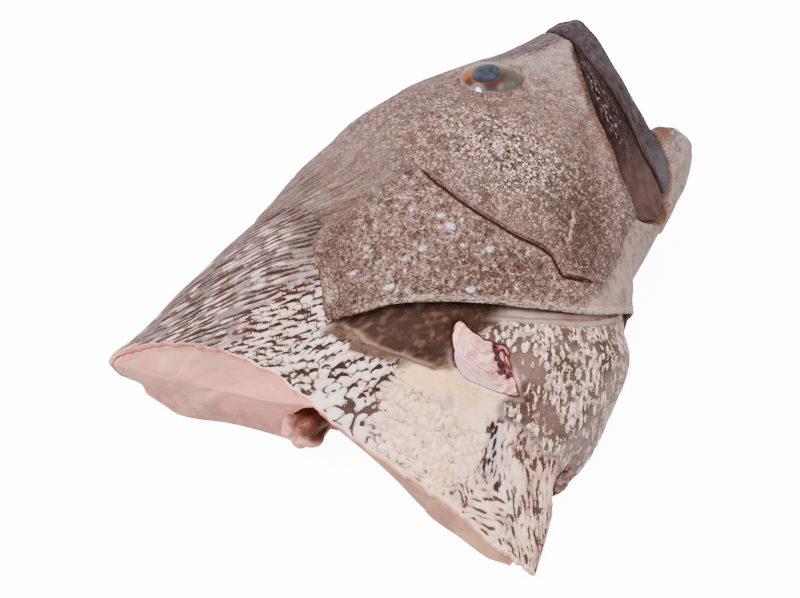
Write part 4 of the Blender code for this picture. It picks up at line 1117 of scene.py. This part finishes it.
def lipMaterial():
    shop = Shop("lipSkin")
    where = shop.place()
    share, down = shop.fields("share", "down")
    along = shop.at(share * 9.0, down * 16.0, 0.0)
    streak = shop.noise(along, 1.0, 4.0, 0.6)
    fine = shop.noise(where, 0.8, 3.0, 0.6)
    colour = shop.coats((0.062, 0.038, 0.045), [
        ((0.165, 0.122, 0.136), streak.above(0.35, 0.68)),
        ((0.27, 0.23, 0.24), down.above(1.28, 1.52) * 0.7),
        # painted sheen: pale lilac-grey streaks along the lip's top
        ((0.235, 0.2, 0.24), down.below(0.45, 0.15) * streak.above(0.4, 0.6) * 0.8),
        ((0.1, 0.045, 0.03), share.above(0.9, 1.0) * 0.75),
        ((0.3, 0.26, 0.28), fine.above(0.58, 0.75) * 0.4),
    ])
    return shop.finish(colour, 0.36 + 0.2 * fine, [(streak, 0.35), (fine, 0.12)],
                       shine=0.08, soft=(0.05, (0.003, 0.0015, 0.001)))


def bladeMaterial():
    shop = Shop("jawBladeSkin")
    where = shop.place()
    share, down = shop.fields("share", "down")
    along = shop.at(share * 8.0, down * 14.0, 0.0)
    streak = shop.noise(along, 1.0, 4.0, 0.62)
    fine = shop.noise(where, 0.7, 4.0, 0.65)
    # pale streaks along the middle of the blade
    paleStreaks = shop.noise(along, 2.3, 4.0, 0.7).above(0.555, 0.63) * down.span(0.66, 0.8, 1.1, 1.3)
    paleStreaks = paleStreaks * share.span(0.25, 0.4, 0.68, 0.8)
    colour = shop.coats((0.02, 0.005, 0.004), [
        ((0.11, 0.052, 0.046), streak.above(0.38, 0.68)),
        ((0.52, 0.42, 0.41), paleStreaks * fine.above(0.4, 0.55)),
        # painted sheen: lighter, mottled pinkish brown towards the blade's low end
        ((0.265, 0.158, 0.138), down.above(1.12, 1.5) * (0.25 + 0.95 * streak)),
        ((0.24, 0.11, 0.06), share.below(0.1, 0.0) * 0.55),
    ])
    return shop.finish(colour, 0.38 + 0.2 * fine, [(streak, 0.4), (fine, 0.15)], shine=0.06)


lip = makeUpperLip()
dress(lip, lipMaterial(), "lip", "upper_lip")
dressPair(makeJawBlade, "jawBlade", bladeMaterial(), "jaw_blade", "maxilla_")
print("lip and jaw blades made")


# eyes
eyeBall = {"pupil": (0.33, 0.02), "level": -1.2, "radii": (16.7, 15.7, 8.7), "segments": 96, "rings": 64}


def makeEye(name, side):
    station, degrees = fish["eye"][0], side * fish["eye"][1]
    centre = freeSkin(station, degrees, eyeBall["level"])
    back, out = skinAxes(station, degrees)
    down = np.cross(out, back) * side
    piece, flat = unitBall(name, eyeBall["segments"], eyeBall["rings"])
    wide, tall, deep = eyeBall["radii"]
    reach = np.hypot(flat[:, 0], flat[:, 1])
    front = flat[:, 2] > 0
    # the clear front is flatter at its rim and stands up over the pupil
    high = flat[:, 2] * deep + 0.9 * ease(0.55, 0.0, reach) * front - 1.0 * ease(0.72, 1.0, reach) * front
    place = centre + flat[:, :1] * wide * back + flat[:, 1:2] * tall * down + high[:, None] * out
    for axis, field in enumerate(("eyeBack", "eyeDown")):
        piece.data.attributes.new(field, "FLOAT", "POINT").data.foreach_set("value", flat[:, axis].copy())
    setCorners(piece, onTable(place, 0.3))
    return finishMesh(piece)


def eyeMaterial():
    shop = Shop("eyeWet")
    back, down = shop.fields("eyeBack", "eyeDown")
    where = shop.place()
    cloud = shop.noise(where, 0.16, 3.0, 0.55)
    fine = shop.noise(where, 0.7, 4.0, 0.7)

    def away(x, y, wide=1.0, high=1.0):  # distance from a point of the eye's front
        across, along = (back - x) * (1 / wide), (down - y) * (1 / high)
        return (across * across + along * along).maths("SQRT")

    pupil = away(*eyeBall["pupil"]) + 0.08 * (cloud - 0.5)
    rim = away(0.0, 0.0) + 0.05 * (cloud - 0.5)
    ring = (pupil + 0.12 * (fine - 0.5)).near(0.52, 0.17)
    slant = back + down
    lower = slant.above(0.3, 0.7)
    slate = shop.blend((0.042, 0.05, 0.075), (0.12, 0.135, 0.18), cloud.above(0.4, 0.68))
    clear = shop.blend((0.24, 0.205, 0.2), (0.4, 0.38, 0.4), back.above(0.35, 0.75) * cloud.above(0.4, 0.62))
    colour = shop.coats((0.34, 0.235, 0.17), [
        ((0.15, 0.115, 0.085), down.above(-0.05, 0.45)),
        ((0.43, 0.315, 0.225), pupil.near(0.62, 0.22) * slant.below(0.1, -0.4) * 0.9),
        ((0.4, 0.175, 0.055), away(0.74, -0.2, 0.3, 0.48).below(1.15, 0.7)),
        ((0.13, 0.045, 0.028), ring * slant.above(0.25, 0.55)),
        ((0.36, 0.29, 0.17), away(0.44, 0.68, 0.15, 0.11).below(1.2, 0.1) * 0.5),
        (slate, pupil.below(0.43, 0.385)),
        ((0.025, 0.032, 0.025), pupil.near(0.405, 0.05) * lower * 0.8),
        (clear, rim.above(0.885, 0.92)),
        # painted highlight: a small white glint on the eye's clear front
        ((0.95, 0.95, 0.96), away(0.875, 0.24, 0.045, 0.11).below(1.1, 0.6)),
        ((0.12, 0.075, 0.06), rim.above(0.955, 1.0) * 0.85),
    ])
    return shop.finish(colour, 0.24 + 0.1 * cloud, [(cloud, 0.25)],
                       shine=0.16, coat=(0.12, 0.04), soft=(0.05, (0.003, 0.002, 0.0015)))


dressPair(makeEye, "eye", eyeMaterial(), "eye", "eye_")
print("eyes made")


# cut roots of the fins
finCut = {"rings": 60, "around": 180, "depth": 6.6}
pelvicCut = {"at": (258.0, 176.0), "level": -3.0, "radii": (8.2, 3.8, 3.8), "segments": 64, "rings": 32}


def makeFinCut(name, side):
    turn = np.linspace(0, 2 * np.pi, finCut["around"], endpoint=False)
    rows = [(r, -0.6 + 1.4 * (1 - r)) for r in np.linspace(0.02, 0.97, finCut["rings"])]
    rows += [(0.97, -2.0), (0.95, -4.5), (0.9, -finCut["depth"]), (0.4, -finCut["depth"])]
    torn = np.interp((np.degrees(turn) + 180) % 360 - 180, *zip(*finPlace["torn"]))
    points, fields = [], []
    for r, level in rows:
        along = finPlace["size"][0] * r * torn * np.cos(turn)
        below = finPlace["size"][1] * np.sign(np.sin(turn)) * np.abs(r * torn * np.sin(turn)) ** 1.2
        station = finPlace["at"][0] + along + finPlace["slant"] * below
        degrees = side * (finPlace["at"][1] + below)
        top = ease(-1.9, -0.8, level)
        # folded fibres, a dark hole at the front and a thick fold behind it
        swirl = np.hypot(along + 1.0, 0.8 * (below + 3.0))
        swirl = swirl + 1.6 * noiseField(along / 3 + 7, below / 4 + 7, 111)
        hole = np.hypot((along + 3.9 - 0.4 * (below - 3.0)) / 2.9, (below - 3.0) / 5.0)
        hole = hole + 0.3 * noiseField(along, below, 115)
        lump = 1.0 * uneven(along / 5 + 9, below / 6 + 9, 113, 3)
        level = level + top * (0.28 * np.sin(2.2 * swirl) + lump - 2.6 * ease(1.1, 0.55, hole)
                               + 0.9 * bell(hole - 1.5, 0.3))
        points.append(onTable(freeSkin(station, degrees, relief(station, degrees) + level), 0.1, 0.3))
        fields.append(np.stack([ease(1.2, 0.85, hole) * top, swirl, along, below, r + 0 * along], -1))
    points, fields = closeRound(np.array(points)), closeRound(np.array(fields))
    names = ("hole", "swirl", "finAlong", "finDown", "finReach")
    return shapeGrid(name, closeEnds(points), {key: fields[..., k] for k, key in enumerate(names)})


def cutFleshMaterial():
    shop = Shop("cutFinFlesh")
    hole, swirl, along, down, reach = shop.fields("hole", "swirl", "finAlong", "finDown", "finReach")
    where = shop.place()
    around = shop.at(swirl * 1.3, along * 0.16, down * 0.16)
    fibre = shop.noise(around, 1.0, 4.0, 0.62)
    broad = shop.noise(where, 0.24, 3.0, 0.6)
    edge = reach.above(0.9, 0.98) * along.below(1.0, -1.5)
    colour = shop.coats((0.6, 0.385, 0.355), [
        ((0.8, 0.615, 0.58), fibre.above(0.36, 0.6)),
        ((0.5, 0.27, 0.27), broad.above(0.54, 0.7) * 0.7),
        ((0.52, 0.22, 0.23), along.below(-1.5, -4.5) * down.above(-6.0, 0.0) * 0.55),
        ((0.66, 0.58, 0.6), along.above(2.5, 5.0) * reach.above(0.55, 0.85) * 0.75),
        ((0.56, 0.5, 0.53), along.near(-3.6, 1.5) * down.near(0.2, 1.8) * 0.9),
        ((0.22, 0.045, 0.045), edge * broad.above(0.35, 0.5) * 0.8),
        # painted shade: dark red to near-black inside the hole
        (shop.blend((0.13, 0.008, 0.012), (0.36, 0.085, 0.08), fibre.above(0.42, 0.6)), hole),
    ])
    return shop.finish(colour, 0.34 + 0.15 * broad, [(fibre, 0.35), (broad, 0.4)],
                       shine=0.35, coat=(0.12, 0.12), soft=(0.12, (0.005, 0.0018, 0.0012)))


def makePelvicCut():
    piece, flat = unitBall("pelvicCut", pelvicCut["segments"], pelvicCut["rings"])
    centre = freeSkin(*pelvicCut["at"], pelvicCut["level"])
    back, out = skinAxes(*pelvicCut["at"])
    lumps = 1 - 0.1 * (1 + np.sin(flat[:, 0] * 9 + 2) * np.sin(flat[:, 1] * 7))
    axes = np.stack([back, np.cross(out, back), out])
    setCorners(piece, centre + (flat * lumps[:, None] * np.array(pelvicCut["radii"])) @ axes)
    return finishMesh(piece)


def pelvicMaterial():
    shop = Shop("pelvicFlesh")
    where = shop.place()
    broad = shop.noise(where, 0.5, 4.0, 0.65)
    colour = shop.blend((0.13, 0.03, 0.022), (0.48, 0.27, 0.21), broad.above(0.42, 0.66))
    return shop.finish(colour, 0.35, [(broad, 0.6)], coat=(0.25, 0.15))


dressPair(makeFinCut, "finCut", cutFleshMaterial(), "fin_root", "fin_stump_")
dress(makePelvicCut(), pelvicMaterial(), "pelvic_root", "pelvic_stump")
print("cut fin roots made")


# flesh, backbone and belly wall at the cut
backFlesh = {"wall": 190, "lower": 90, "insideRows": 14, "outsideRows": 12, "swell": 4.0,
             "left": [(-104, 277), (-90, 279), (-75, 282), (-60, 288), (-40, 290), (-15, 294), (0, 295.5)],
             "sheets": [[(51, 56), (54, 45), (60, 32), (66, 21)], [(66, 46), (69, 38), (70, 30)],
                        [(50, 35), (40, 47), (28, 54), (20, 57), (13, 57), (9, 55)],
                        [(37, 33), (26, 36), (15, 38)]],
             "redLine": [[(25, 60), (14, 56), (6, 49), (4, 40)]],
             "reach": np.concatenate(([0.985, 0.965], np.linspace(0.94, 0.03, 56)))}
boneEnd = {"radius": 10.3, "at": (3.0, 15.5), "around": 144, "rows": 80, "span": (232, 290),
           "waist": [(232, 0.6), (246, 0.8), (258, 0.72), (272, 0.98), (283, 1.0), (288, 0.8), (290, 0.4)]}
bellyWall = {"columns": 150, "rows": 60, "from": 101.5, "to": 159.5,
             "thick": [(100, 3), (112, 4), (120, 8), (127, 14), (133, 17), (140, 15), (150, 10), (158, 5),
                       (165, 3)]}


def makeBackFlesh():
    wall = np.linspace(-92, 100, backFlesh["wall"])
    cut = cutEdge(wall)
    rear = np.where(wall > 0, cut - fish["gap"], curve(backFlesh["left"], wall))
    inside = [mix(cut, fish["pocketFront"], share)
              for share in (*np.linspace(0.95, 0.05, backFlesh["insideRows"]), 0.02)]
    outside = [mix(inside[-1], rear, share) for share in np.linspace(0.08, 1.0, backFlesh["outsideRows"])]
    rows = []
    for station in inside + outside:
        past = ease(3.0, 9.0, station - cut) * (wall < 0)
        level = mix(pocketLevel(station, wall) - 0.6, backFlesh["swell"], past)
        lumps = past * 1.5 * uneven(wall / 9, station / 9, 121, 2)
        outer = freeSkin(station, wall, level - 0.8 * past + lumps)
        floor = mix(fish["skin"] + 0.4, 0.4, ease(2.5, 6.5, station - cut))
        outer[:, 2] = np.maximum(outer[:, 2], floor)
        across = np.linspace(0, 1, backFlesh["lower"] + 2)[1:-1, None]
        sag = 6.0 * np.sin(np.pi * across)
        sag = sag + 1.2 * noiseField(across * 7, station.mean() / 12, 123)
        lower = mix(outer[-1], outer[0], across) + np.array([0.0, 1.0, 0.0]) * sag
        rows.append(np.vstack([outer, lower]))
    rim = rows[-1]
    middle = rim.mean(axis=0)
    faceRows = []
    for reach in backFlesh["reach"]:
        face = middle + reach * (rim - middle)
        u, v = face[:, 1], face[:, 2]
        bulge = 2.0 * np.sin(u / 9.0) * np.cos(v / 11.0) * (1 - reach)
        # layers of the muscle: nested arcs that open towards the backbone
        sway = 2.2 * noiseField(u / 14 + 20, v / 14 + 20, 125)
        arcs = np.sin(0.62 * np.hypot(u - 8, 1.9 * (v - 14)) + sway)
        lumps = 0.8 * uneven(u / 15 + 30, v / 11 + 30, 127, 3)
        face[:, 0] += bulge + (0.1 * arcs + lumps) * ease(1.0, 0.93, reach)
        faceRows.append(face)
    points = closeRound(np.array(rows + faceRows))
    onWall = np.array([1.0] * len(rows) + [0.0] * len(faceRows))[:, None]
    rimShare = np.concatenate(([1.0] * len(rows), backFlesh["reach"]))[:, None] + 0 * points[..., 0]
    low = ease(24, 8, points[..., 2] + 3 * uneven(points[..., 1] / 8 + 50, points[..., 2] / 8, 129, 2))
    away = {}
    for key in ("sheets", "redLine"):
        far = np.full(low.shape, 9.0)
        for path in backFlesh[key]:
            for (y0, z0), (y1, z1) in zip(path, path[1:]):
                y, z = points[..., 1] - y0, points[..., 2] - z0
                share = np.clip((y * (y1 - y0) + z * (z1 - z0)) / ((y1 - y0) ** 2 + (z1 - z0) ** 2), 0, 1)
                far = np.minimum(far, np.hypot(y - share * (y1 - y0), z - share * (z1 - z0)))
        away[key] = far + 9.0 * onWall
    fields = {"rimShare": rimShare, "low": low, "side": points[..., 1] / 100, **away}
    return shapeGrid("backFlesh", closeEnds(points), fields)


def fleshMaterial():
    shop = Shop("rawFlesh")
    where = shop.place()
    rimShare, low, side, sheets, redLine = shop.fields("rimShare", "low", "side", "sheets", "redLine")
    broad = shop.noise(where, 0.05, 3.0, 0.55)
    mid = shop.noise(where, 0.17, 3.0, 0.6)
    fine = shop.noise(where, 0.9, 3.0, 0.6)
    colour = shop.coats((0.725, 0.505, 0.455), [
        ((0.715, 0.555, 0.505), side.above(0.15, 0.6)),
        ((0.73, 0.49, 0.445), broad.above(0.48, 0.66) * 0.7),
        ((0.69, 0.56, 0.52), mid.above(0.5, 0.72) * 0.45),
        # thin white sheets between the muscles and a red line under the skin
        ((0.82, 0.74, 0.71), (sheets + 5.0 * (mid - 0.5)).below(0.8, 0.1) * fine.above(0.34, 0.56) * 0.2),
        ((0.66, 0.3, 0.235), (redLine + 3.0 * (mid - 0.5)).below(2.6, 0.4) * 0.65),
        ((0.76, 0.62, 0.53), rimShare.above(0.955, 0.99) * 0.6),
        ((0.66, 0.34, 0.28), (rimShare + 0.05 * (mid - 0.5)).near(0.925, 0.03) * mid.above(0.46, 0.6) * 0.5),
        ((0.47, 0.275, 0.265), low * (0.22 + 0.38 * mid.above(0.35, 0.65))),
    ])
    return shop.finish(colour, 0.36 + 0.2 * fine, [(mid, 0.35), (fine, 0.08)],
                       shine=0.3, coat=(0.08, 0.18), soft=(0.2, (0.008, 0.003, 0.002)))


def makeBoneEnd():
    turn = np.linspace(0, 2 * np.pi, boneEnd["around"], endpoint=False)
    rows = []
    for station in np.linspace(*boneEnd["span"], boneEnd["rows"]):
        share = curve(boneEnd["waist"], station)
        reach = boneEnd["radius"] * share * (0.9 + 0.2 * np.abs(np.sin(2.5 * turn + station / 16.0)))
        reach = reach - 0.9 + 0.9 * uneven(turn * 2.2, station / 5, 131, 3) * ease(0.0, 0.6, share)
        y, z = boneEnd["at"][0] + reach * np.cos(turn), boneEnd["at"][1] + reach * np.sin(turn)
        rows.append(np.stack([0 * turn - station, y, z], -1))
    end = rows[-1]
    middle = end.mean(axis=0)
    for k in (0.8, 0.6, 0.4, 0.2):  # the hollow end of a vertebra
        ring = middle + k * (end - middle)
        ring[:, 0] += 3.0 * (1 - k)
        rows.append(ring)
    return shapeGrid("boneEnd", closeEnds(closeRound(np.array(rows))))


def boneMaterial():
    shop = Shop("boneAndBlood")
    where = shop.place()
    side, up = (shop.make("ShaderNodeSeparateXYZ", {}, [where], axis) for axis in ("Y", "Z"))
    broad = shop.noise(where, 0.16, 4.0, 0.6)
    fine = shop.noise(where, 0.7, 3.0, 0.6)
    upward = up - 0.6 * side + 10.0 * (broad - 0.5)
    raw = upward.above(6.0, 12.0)
    colour = shop.coats((0.7, 0.51, 0.455), [
        ((0.32, 0.125, 0.082), raw),
        ((0.42, 0.1, 0.07), broad.above(0.57, 0.66) * 0.7),
        ((0.76, 0.62, 0.57), fine.above(0.56, 0.68) * (1.0 - raw) * 0.6),
        ((0.72, 0.55, 0.5), upward.near(7.5, 1.3) * 0.8),
    ])
    return shop.finish(colour, 0.36, [(broad, 1.6), (fine, 0.3)],
                       shine=0.2, coat=(0.05, 0.15), soft=(0.1, (0.005, 0.002, 0.001)))


def makeBellyWall():
    columns = np.linspace(bellyWall["from"], bellyWall["to"], bellyWall["columns"])
    shares = np.linspace(0, 1, bellyWall["rows"])
    stations = mix(cutEdge(columns)[:, None] - 0.2, fish["pocketFront"], 0.8 * shares[None])
    d = columns[:, None] + 0 * stations
    thick = curve(bellyWall["thick"], d) * mix(1.0, 0.6, shares[None])
    level = pocketLevel(stations, d) - 0.6
    outer = onTable(freeSkin(stations, d, level))
    inner = onTable(freeSkin(stations, d, level - thick + 0.5 + 0.5 * uneven(stations / 8, d / 8, 141, 2)))
    low = mix(fish["gap"], fish["skin"] + fish["gap"], ease(4.0, -3.0, stations - cutEdge(-d)))
    inner[..., 2] = np.maximum(inner[..., 2], low + 0.1)
    outer[..., 2] = np.maximum(outer[..., 2], low + 0.9)
    loops = []
    for k in range(len(columns)):
        face = mix(outer[k][0], inner[k][0], np.linspace(0, 1, 14)[1:-1, None])
        face[:, 0] += 0.35 * uneven(np.linspace(0, 3, 12), k / 9, 143, 2)
        end = mix(inner[k][-1], outer[k][-1], np.linspace(0, 1, 8)[1:-1, None])
        loops.append(np.vstack([outer[k][::-1], face, inner[k], end]))
    points = closeRound(np.array(loops))
    count = bellyWall["rows"]
    cutShare = np.zeros(points.shape[:2])
    cutShare[:, count - 1:count + 13] = 1.0
    return shapeGrid("bellyWall", closeEnds(points), {"cutShare": cutShare})


def bellyMaterial():
    shop = Shop("bellyFlesh")
    where = shop.place()
    cutShare = shop.field("cutShare")
    broad = shop.noise(where, 0.07, 3.0, 0.6)
    fine = shop.noise(where, 0.8, 4.0, 0.65)
    colour = shop.blend((0.57, 0.395, 0.305), (0.655, 0.485, 0.39), broad.above(0.38, 0.62))
    colour = shop.coats(shop.blend(colour, (0.62, 0.36, 0.32), 0.5), [
        (colour, cutShare),
        ((0.76, 0.65, 0.57), fine.above(0.56, 0.72) * 0.3),
    ])
    return shop.finish(colour, 0.4 + 0.2 * fine, [(broad, 0.5), (fine, 0.15)],
                       shine=0.25, coat=(0.05, 0.2), soft=(0.15, (0.006, 0.0025, 0.0018)))


dress(makeBackFlesh(), fleshMaterial(), "flesh", "flesh")
dress(makeBoneEnd(), boneMaterial(), "backbone", "backbone")
dress(makeBellyWall(), bellyMaterial(), "belly_wall", "belly_wall")
print("cut flesh made")
